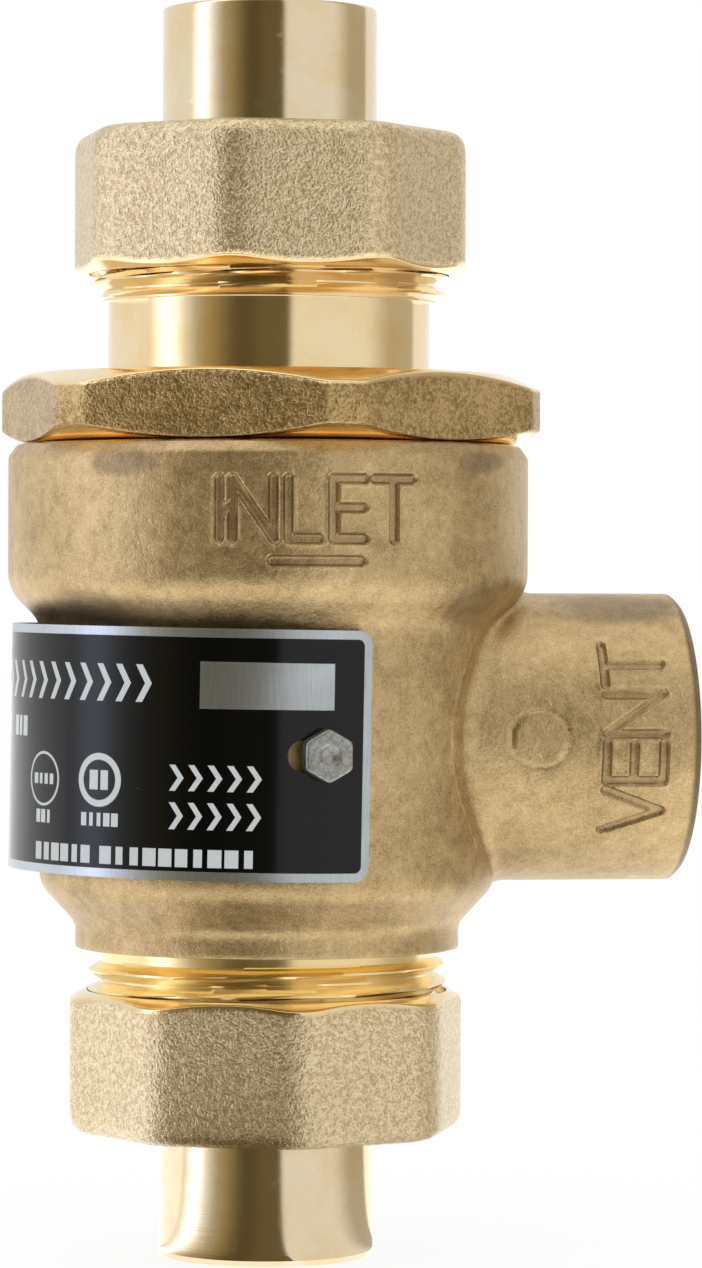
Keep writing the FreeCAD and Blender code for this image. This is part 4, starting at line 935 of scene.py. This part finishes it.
def nut_finish():
    """Coarse sand-blasted brass with bright crumbs, and turned brass at the mouth."""
    finish = Finish("nut_brass")
    place = finish.place()
    machined = finish.attribute("machined")
    grain = sand_grain(finish, place, NUT_GRAIN)
    skin = finish.colour(grain.between(0.38, 0.6), NUT_DARK, NUT_LIGHT)
    base = finish.colour(machined, skin, turned_colour(finish, place, TURNED_BRASS))
    rough = 0.28 - machined * 0.16
    bumps = finish.bump(grain * (1 - machined), NUT_GRAIN_DEPTH)
    bumps = finish.bump(turned_lines(finish, place) * machined, LATHE_LINE_DEPTH, bumps)
    return finish.principled(Base_Color=base, Metallic=1.0, Roughness=rough, Normal=bumps)


def nut_mesh(name, low, turn, thread_rise, upside_down):
    """A nut with its closed shoulder at height 0 and its mouth above, or hung over from the top. The thread
    ridges in its bore stand between those of the piece that it is screwed on."""
    angle = np.linspace(0, 2 * np.pi, 401)[:-1]
    plan = polygon_radius(angle, 8, NUT_ACROSS, NUT_BEVEL, turn, 0.25)
    mouth = NUT_BORE + NUT_MOUTH_LAND
    radius, height, machined = carry_outline([
        (NUT_ON_TAIL, 0, 0.4, 4, 0),
        (plan, 0, NUT_SHOULDER, 26, 0),
        (plan, NUT_HEIGHT - (plan - mouth) * NUT_SLOPE, 0.16, 4, 1),
        (mouth, NUT_HEIGHT, 0.08, 1, 1),
        (NUT_BORE, NUT_HEIGHT - 0.1, 0, 46, 1),
        (NUT_BORE, NUT_FLOOR, 0, 3, 1),
        (NUT_ON_TAIL, NUT_FLOOR, 0, 2, 1),
    ], len(angle))
    stands = low - height if upside_down else low + height
    in_bore = (np.abs(radius - NUT_BORE) < 0.01) & (height > NUT_FLOOR)
    fade = smooth_step(NUT_HEIGHT - height, 0.4, 2.2)
    between_ridges = stands - thread_rise + THREAD_PITCH / 2
    ridges = NUT_THREAD_DEPTH * thread_ridge(between_ridges, angle, THREAD_PITCH) * fade
    radius = radius - np.where(in_bore, ridges, 0)
    points = spin(radius, stands, angle)
    if upside_down:
        points = points[::-1]
        machined = machined[::-1]
    return build_mesh(name, points), machined


nut_brass = nut_finish()
for end_name, nut_low, nut_turn, nut_rise, nut_over in (
    ("outlet", NUT_SETBACK, OUTLET_NUT_TURN, OUTLET_THREAD_RISE, False),
    ("inlet", OVERALL - NUT_SETBACK, INLET_NUT_TURN, 0.0, True),
):
    nut_name = f"{end_name}_nut_forging"
    nut_grid, nut_machined = nut_mesh(nut_name, nut_low, nut_turn, nut_rise, nut_over)
    nut = add_piece(nut_name, nut_grid, nut_brass, machined=nut_machined)
    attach(nut, f"{end_name}_nut")
    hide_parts(f"{end_name}_union_nut")


# Tailpieces
# Turned brass solder cups. The tube goes into the wide socket, and a collar at the other end is held in
# the union nut. The cut metal is bright, with lathe lines and a little heat tarnish.
TAIL_RADIUS = 12.5
TAIL_LENGTH = 20.5
SOCKET_RADIUS = 11.16
SOCKET_DEPTH = 19.0
WATERWAY = 9.5
TAIL_COLLAR = 18.3
TAIL_COLLAR_THICK = 3.0
TAIL_BRASS = (0.75, 0.62, 0.41)
SPOT_SIZE = 1.6 * MM
SPOT_TONE = (0.88, 0.78, 0.60)


def tail_finish():
    """Turned brass with lathe lines, drifting tarnish and a few dull spots."""
    finish = Finish("turned_brass")
    place = finish.place()
    lines = turned_lines(finish, place)
    spots = finish.noise(place, SPOT_SIZE, detail=4.0, roughness=0.7, distortion=0.3).between(0.55, 0.75)
    base = turned_colour(finish, place, TAIL_BRASS)
    base = finish.colour(spots * 0.3, base, SPOT_TONE)
    bumps = finish.bump(lines, LATHE_LINE_DEPTH)
    rough = 0.09 + lines * 0.05 + spots * 0.10
    return finish.principled(Base_Color=base, Metallic=1.0, Roughness=rough, Normal=bumps)


tail_brass = tail_finish()
tail_angle = np.linspace(0, 2 * np.pi, 193)[:-1]
collar_low = TAIL_LENGTH - TAIL_COLLAR_THICK
tail_radius, tail_height, _ = carry_outline([
    (SOCKET_RADIUS, 0, 0.3, 2, 1),
    (TAIL_RADIUS, 0, 0.35, 16, 1),
    (TAIL_RADIUS, collar_low, 0.5, 3, 1),
    (TAIL_COLLAR, collar_low, 0.2, 2, 1),
    (TAIL_COLLAR, TAIL_LENGTH, 0.2, 3, 1),
    (WATERWAY, TAIL_LENGTH, 0.2, 2, 1),
    (WATERWAY, SOCKET_DEPTH, 0.15, 2, 1),
    (SOCKET_RADIUS, SOCKET_DEPTH, 0.1, 10, 1),
], len(tail_angle))
tail_points = spin(tail_radius, tail_height, tail_angle)
tail_over = spin(tail_radius, OVERALL - tail_height, tail_angle)[::-1]
for end_name, end_points in (("outlet", tail_points), ("inlet", tail_over)):
    tail_name = f"{end_name}_tail_turning"
    tail = add_piece(tail_name, build_mesh(tail_name, end_points), tail_brass)
    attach(tail, f"{end_name}_tail")
    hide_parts(f"{end_name}_tailpiece")


# Nameplate
# Rolled aluminium sheet with a black print that leaves a bare border and a bare panel. It is bent round
# the barrel's front and left, held by a screw in a slot at each end, and stands off in the middle.
PLATE_OFFSET = 2.8
PLATE_MIDDLE = math.radians(-162.4)
PLATE_HALF_SWEEP = math.radians(94.85)
PLATE_OUTER = 27.44
PLATE_THICK = 0.6
PLATE_HIGH = 28.2
PLATE_RISE = 59.2
PLATE_CORNER = 1.8
PLATE_TILT = math.radians(-0.85)
PLATE_TILT_AXIS = math.radians(-99.4)
PLATE_BORDER = 1.0
SLOT_LONG = 6.3
SLOT_HIGH = 3.6
SLOT_SHIFT = 1.15
SCREW_ANGLES = {"right": math.radians(-85.15), "left": math.radians(119.6)}
BLACK_PRINT = (0.0006, 0.0011, 0.0013)
BARE_ALUMINIUM = (0.40, 0.43, 0.45)
PRINTED_GREY = (0.50, 0.53, 0.54)
PRINT_EDGE = 0.05
PLATE_PANEL = (25.5, 5.15, 40.75, 10.35)

# Printed shapes on the plate: rows of chevrons and of solid blocks as left, low, right, high and pitch, and
# rings as middle, height, radius and line width, all in millimetres from the sheet's middle
PLATE_CHEVRONS = [
    (-30.0, 5.7, -3.6, 9.9, 3.3),
    (-3.3, 5.7, 20.2, 9.9, 2.61),
    (21.9, -4.1, 32.9, -1.2, 2.2),
    (21.9, -8.4, 32.9, -5.4, 2.2),
]
PLATE_BLOCKS = [
    (-5.4, 1.3, -0.6, 3.6, 1.6),
    (-26.0, 1.3, -8.6, 3.6, 2.9),
    (1.4, -4.0, 5.8, -2.8, 1.1),
    (11.6, -4.3, 14.6, -2.1, 1.5),
    (2.0, -8.4, 5.3, -6.9, 1.1),
    (10.4, -8.4, 15.9, -6.9, 1.1),
    (1.9, -12.6, 12.0, -10.6, 1.7),
    (13.2, -12.6, 32.0, -10.6, 1.9),
]
PLATE_RINGS = [(3.6, -3.4, 2.95, 0.3), (13.1, -3.2, 2.65, 0.75)]

tilt_axis = np.array([math.cos(PLATE_TILT_AXIS), math.sin(PLATE_TILT_AXIS), 0])


def tilted(points, tilt=PLATE_TILT):
    """The points turned by the plate's small tilt about its own middle: along the tilt axis they keep their
    place, and across it they turn by cosine and sine."""
    middle = np.array([0, 0, PLATE_RISE])
    away = points - middle
    along = (away @ tilt_axis)[..., None] * tilt_axis
    return middle + along + (away - along) * math.cos(tilt) + np.cross(tilt_axis, away) * math.sin(tilt)


def plate_place(radius, turn, height):
    """Points round the plate's own middle, which lies off the valve's axis."""
    x = PLATE_OFFSET * math.cos(PLATE_MIDDLE) + radius * np.cos(turn + PLATE_MIDDLE)
    y = PLATE_OFFSET * math.sin(PLATE_MIDDLE) + radius * np.sin(turn + PLATE_MIDDLE)
    return tilted(np.stack([x, y, height + PLATE_RISE + 0 * x], axis=-1))


def plate_mesh():
    """The bent sheet. Its half sweep at a height is the whole one less what the round corners take: their
    radius less the root of the radius squared less the height beyond their middle squared."""
    edge = PLATE_HIGH / 2
    near_edge = edge - PLATE_CORNER * (1 - np.sin(np.linspace(0, np.pi / 2, 9)))
    height = np.concatenate([-near_edge[::-1], np.linspace(-near_edge[0], near_edge[0], 22)[1:-1], near_edge])
    beyond = np.maximum(np.abs(height) - (edge - PLATE_CORNER), 0)
    taken = PLATE_CORNER - np.sqrt(np.maximum(PLATE_CORNER ** 2 - beyond ** 2, 0))
    half = PLATE_HALF_SWEEP - taken / PLATE_OUTER
    share = np.sin(np.linspace(-np.pi / 2, np.pi / 2, 9))
    share = np.concatenate([share[:4] * 0.04 - 0.96, np.linspace(-0.96, 0.96, 150), share[-4:] * 0.04 + 0.96])
    turn = half[:, None] * share
    outside = plate_place(PLATE_OUTER, turn, height[:, None])
    inside = plate_place(PLATE_OUTER - PLATE_THICK, turn, height[:, None])
    return closed_sheet("plate", outside, inside)


def closed_sheet(name, outside, inside):
    """A closed mesh from two like grids of points, the outer and the inner face, joined along all edges."""
    rows, columns = outside.shape[:2]
    front = np.arange(rows * columns).reshape(rows, columns)
    back = front + rows * columns
    faces = [
        np.stack([front[:-1, :-1], front[:-1, 1:], front[1:, 1:], front[1:, :-1]], axis=-1).reshape(-1, 4),
        np.stack([back[:-1, :-1], back[1:, :-1], back[1:, 1:], back[:-1, 1:]], axis=-1).reshape(-1, 4),
    ]
    around = np.concatenate([front[0, :-1], front[:-1, -1], front[-1, :0:-1], front[:0:-1, 0]])
    behind = around + rows * columns
    ahead = np.roll(around, -1)
    faces.append(np.stack([around, behind, np.roll(behind, -1), ahead], axis=-1))
    mesh = bpy.data.meshes.new(name)
    points = np.concatenate([outside.reshape(-1, 3), inside.reshape(-1, 3)]) * MM
    mesh.from_pydata(points.tolist(), [], np.concatenate(faces).tolist())
    return mesh


def slot_cutter(side, shift):
    """A round-ended bar along the screw's direction, to cut the slot: its section is a rounded outline."""
    half_circle = np.linspace(-np.pi / 2, np.pi / 2, 17)
    middle = (SLOT_LONG - SLOT_HIGH) / 2
    across = np.concatenate([middle + SLOT_HIGH / 2 * np.cos(half_circle),
                             -middle - SLOT_HIGH / 2 * np.cos(half_circle)]) + shift
    up = np.concatenate([SLOT_HIGH / 2 * np.sin(half_circle), -SLOT_HIGH / 2 * np.sin(half_circle)])
    turn = SCREW_ANGLES[side]
    outward = np.array([math.cos(turn), math.sin(turn), 0])
    sideways = np.array([-math.sin(turn), math.cos(turn), 0])
    rows = []
    for distance in (18.0, 40.0):
        rows.append(outward * distance + across[:, None] * sideways + up[:, None] * np.array([0, 0, 1]))
    points = tilted(np.array(rows) + np.array([0, 0, PLATE_RISE]))
    return build_mesh("slot", points, [points[0].mean(axis=0), points[1].mean(axis=0)])


def box_mask(across, up, left, low, right, high):
    """1 inside an upright rectangle, 0 outside, from the larger of the distances beyond its sides."""
    sideways = abs(across - (left + right) / 2) - (right - left) / 2
    upright = abs(up - (low + high) / 2) - (high - low) / 2
    return sideways.most(upright).between(PRINT_EDGE, -PRINT_EDGE)


def ring_mask(across, up, middle, height, radius, line):
    """1 on a ring of this radius and line width, 0 elsewhere."""
    sideways = across - middle
    upright = up - height
    distance = across.math("SQRT", sideways * sideways + upright * upright)
    return (abs(distance - radius) - line / 2).between(PRINT_EDGE, -PRINT_EDGE)


def chevron_row(finish, across, up, left, low, right, high, pitch):
    """Chevrons in equal cells, pointing right: the stroke falls back from the row's middle height."""
    cells = (across - left) * (1 / pitch)
    from_middle = abs((up - (low + high) / 2) * (1 / (high - low)))
    stroke = abs(cells % 1.0 - 0.5 + from_middle * 0.9 - 0.2)
    return (stroke < 0.16) * box_mask(across, up, left, low, right, high)


def block_row(finish, across, up, left, low, right, high, pitch):
    """Solid blocks in equal cells, each as wide as its cell's number picks."""
    cells = (across - left) * (1 / pitch)
    number = cells.math("FLOOR", cells)
    pick = finish.node("ShaderNodeTexWhiteNoise", {"noise_dimensions": "1D"}, W=number + left)
    filled = abs(cells - number - 0.5) < pick * 0.2 + 0.24
    return filled * box_mask(across, up, left, low, right, high)


def plate_finish():
    """Black print on bare aluminium. Across is the distance in millimetres along the bent sheet from its
    middle, rightward, and up is the height above the sheet's own middle."""
    finish = Finish("plate_aluminium")
    place = finish.place()
    across = finish.attribute("across")
    up = finish.attribute("up")
    half_long = PLATE_HALF_SWEEP * PLATE_OUTER - PLATE_BORDER
    half_high = PLATE_HIGH / 2 - PLATE_BORDER
    corner = PLATE_CORNER - PLATE_BORDER
    over_side = (abs(across) - (half_long - corner)).most(0)
    over_top = (abs(up) - (half_high - corner)).most(0)
    reach = across.math("SQRT", over_side * over_side + over_top * over_top) - corner
    inside = reach.between(PRINT_EDGE, -PRINT_EDGE) * (abs(across) < half_long + 0.1)
    printed = box_mask(across, up, *PLATE_PANEL)
    white = None
    for draw_row, rows in ((chevron_row, PLATE_CHEVRONS), (block_row, PLATE_BLOCKS)):
        for row in rows:
            shapes = draw_row(finish, across, up, *row)
            white = shapes if white is None else white.most(shapes)
    for ring in PLATE_RINGS:
        white = white.most(ring_mask(across, up, *ring))
    brushed = finish.noise(finish.scaled(place, 9000.0, 9000.0, 260.0), 1.0, detail=2.0)
    clouds = finish.noise(place, 5 * MM, detail=3.0)
    bare = finish.colour((brushed * 0.6 + clouds * 0.4).between(0.3, 0.7), BARE_ALUMINIUM,
                         tuple(1.3 * part for part in BARE_ALUMINIUM))
    film = inside * (1 - printed)
    base = finish.colour(film, bare, finish.colour(white, BLACK_PRINT, PRINTED_GREY))
    scratches = finish.noise(finish.scaled(place, 700.0, 700.0, 3500.0), 1.0, detail=3.0, distortion=0.4)
    worn = scratches.between(0.74, 0.82) * film * 0.25
    base = finish.colour(worn, base, BARE_ALUMINIUM)
    return finish.principled(Base_Color=base, Metallic=1 - film, Roughness=0.34 - film * 0.2,
                             Specular_IOR_Level=0.3)


plate = plate_mesh()
for plate_side, slot_shift in (("right", -SLOT_SHIFT), ("left", SLOT_SHIFT)):
    plate = combine(plate, slot_cutter(plate_side, slot_shift), "DIFFERENCE")
plate_points = tilted(mesh_points(plate), -PLATE_TILT)
plate_x = plate_points[:, 0] - PLATE_OFFSET * math.cos(PLATE_MIDDLE)
plate_y = plate_points[:, 1] - PLATE_OFFSET * math.sin(PLATE_MIDDLE)
plate_turn = (np.arctan2(plate_y, plate_x) - PLATE_MIDDLE + np.pi) % (2 * np.pi) - np.pi
plate_piece = add_piece("plate_sheet", plate, plate_finish(),
                        across=plate_turn * PLATE_OUTER, up=plate_points[:, 2] - PLATE_RISE)
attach(plate_piece, "valve")
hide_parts("nameplate")


# Nameplate screws
# Two small steel screws with a plain hexagon head and a ringed dimple, driven into the barrel through
# the plate's slots. Their steel is dull and scuffed.
SCREW_ACROSS = 5.4
SCREW_HEAD = 2.1
SCREW_HEAD_GAP = 0.25
SCREW_SHANK = 1.4
SCREW_DEPTH = 2.4
DIMPLE_RADIUS = 1.3
DIMPLE_DEPTH = 0.5
STEEL = (0.26, 0.26, 0.245)


def steel_finish():
    """Dull steel with scuffs."""
    finish = Finish("screw_steel")
    place = finish.place()
    scuffs = finish.noise(place, 0.5 * MM, detail=4.0, roughness=0.7, distortion=0.8)
    base = finish.colour(scuffs.between(0.35, 0.7), STEEL, tuple(1.8 * part for part in STEEL))
    bumps = finish.bump(scuffs, 0.05 * MM)
    return finish.principled(Base_Color=base, Metallic=1.0, Roughness=0.36 + scuffs * 0.15, Normal=bumps)


def screw_seat(turn):
    """Distance from the valve's axis to the underside of the head at this angle: out to the plate, whose
    middle lies off the axis, and the gap."""
    around = turn - PLATE_MIDDLE
    return (PLATE_OFFSET * math.cos(around) + SCREW_HEAD_GAP
            + math.sqrt(PLATE_OUTER ** 2 - (PLATE_OFFSET * math.sin(around)) ** 2))


def screw_mesh(turn):
    """One screw along its own direction: a six-sided head with rounded upper edge and dimple, and its
    round shank. Across and up are spun about that direction."""
    spun = np.linspace(0, 2 * np.pi, 97)[:-1]
    seat = screw_seat(turn)
    head = polygon_radius(spun, 6, SCREW_ACROSS, 0.3, 0.0, 0.08)
    radius, out, _ = carry_outline([
        (0.3, seat + SCREW_HEAD - DIMPLE_DEPTH, 0, 2, 1),
        (DIMPLE_RADIUS * 0.55, seat + SCREW_HEAD - DIMPLE_DEPTH * 0.9, 0.1, 2, 1),
        (DIMPLE_RADIUS, seat + SCREW_HEAD, 0.12, 3, 1),
        (head, seat + SCREW_HEAD, 0.35, 4, 1),
        (head, seat, 0.1, 2, 1),
        (SCREW_SHANK, seat, 0, 4, 1),
        (SCREW_SHANK, BARREL_RADIUS - SCREW_DEPTH, 0, 1, 1),
        (0.3, BARREL_RADIUS - SCREW_DEPTH, 0, 0, 1),
    ], len(spun))
    outward = np.array([math.cos(turn), math.sin(turn), 0])
    sideways = np.array([math.sin(turn), -math.cos(turn), 0])
    points = (out[..., None] * outward + (radius * np.cos(spun))[..., None] * sideways
              + (radius * np.sin(spun))[..., None] * np.array([0, 0, 1]) + np.array([0, 0, PLATE_RISE]))
    axis = np.array([0, 0, PLATE_RISE])
    poles = [outward * end + axis for end in (seat + SCREW_HEAD - DIMPLE_DEPTH, BARREL_RADIUS - SCREW_DEPTH)]
    return build_mesh("screw", points, poles)


screw_steel = steel_finish()
for screw_side, screw_turn in SCREW_ANGLES.items():
    screw = add_piece(f"plate_screw_{screw_side}", screw_mesh(screw_turn), screw_steel)
    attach(screw, "valve")
    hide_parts("nameplate_screws")


# Inner pieces
# Gaskets, O-rings, diaphragm and discs are black rubber, the strainer, springs and small parts are
# stainless steel, and the seats, holders and guides are plain turned brass.
RUBBER = (0.018, 0.018, 0.019)
FIBRE = (0.05, 0.05, 0.048)
INNER_BRASS = (0.72, 0.54, 0.26)
INNER_STEEL = (0.58, 0.58, 0.57)
RUBBER_SKIN_DEPTH = 0.03 * MM


def rubber_finish(name, tone):
    """Moulded rubber: nearly black, faintly blotched, with a fine dull skin."""
    finish = Finish(name)
    place = finish.place()
    skin = finish.noise(place, 0.25 * MM, detail=2.0)
    blotch = finish.noise(place, 3 * MM, detail=2.0)
    base = finish.colour(blotch, tone, tuple(1.8 * part for part in tone))
    bumps = finish.bump(skin, RUBBER_SKIN_DEPTH)
    return finish.principled(Base_Color=base, Roughness=0.55 + skin * 0.2, Normal=bumps)


def inner_metal_finish(name, tone, roughness):
    """Clean turned metal with fine lines and faint drift in its colour."""
    finish = Finish(name)
    place = finish.place()
    drift = finish.noise(place, 4 * MM, detail=2.0)
    lines = turned_lines(finish, place)
    base = finish.colour(drift, tone, tuple(min(1.15 * part, 1.0) for part in tone))
    return finish.principled(Base_Color=base, Metallic=1.0, Roughness=roughness + lines * 0.1,
                             Normal=finish.bump(lines, 0.01 * MM))


rubber = rubber_finish("black_rubber", RUBBER)
fibre = rubber_finish("gasket_rubber", FIBRE)
inner_brass = inner_metal_finish("inner_brass", INNER_BRASS, 0.24)
inner_steel = inner_metal_finish("stainless_steel", INNER_STEEL, 0.26)
check_nodes = {
    "disc": rubber, "disc_holder": inner_brass, "disc_screw": inner_steel, "guide": inner_brass,
}
inner_finishes = {
    "inlet_gasket": fibre, "outlet_gasket": fibre, "bonnet_o_ring": rubber, "inlet_strainer": inner_steel,
    "diaphragm": rubber, "slip_ring": inner_brass, "vent_seal_ring": rubber,
    "secondary_seat": inner_brass, "secondary_seat_o_ring": rubber, "retaining_ring": inner_steel,
}
for check in ("primary", "secondary"):
    for node_end, node_finish in check_nodes.items():
        inner_finishes[f"{check}_{node_end}"] = node_finish
for node_name, node_finish in inner_finishes.items():
    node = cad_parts[node_name]
    node.data.materials.clear()
    node.data.materials.append(node_finish)

# Springs
# Two coils of stainless wire stand on the guides and hold the discs shut.
CHECK_TRAVEL = {"primary": 4.5 * MM, "secondary": 4.0 * MM}
MERGE_WITHIN = 1e-7


def joined_copy(node):
    """The node's own mesh, with its loose triangles joined into one closed surface."""
    joined = bmesh.new()
    joined.from_mesh(node.data)
    joined.transform(node.matrix_world)
    bmesh.ops.remove_doubles(joined, verts=joined.verts, dist=MERGE_WITHIN)
    mesh = bpy.data.meshes.new(node.name)
    joined.to_mesh(mesh)
    joined.free()
    return mesh


for check, travel in CHECK_TRAVEL.items():
    coil_node = f"{check}_spring"
    coil = add_piece(f"{check}_coil", joined_copy(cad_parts[coil_node]), inner_steel)
    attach(coil, "valve")
    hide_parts(coil_node)
    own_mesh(coil)
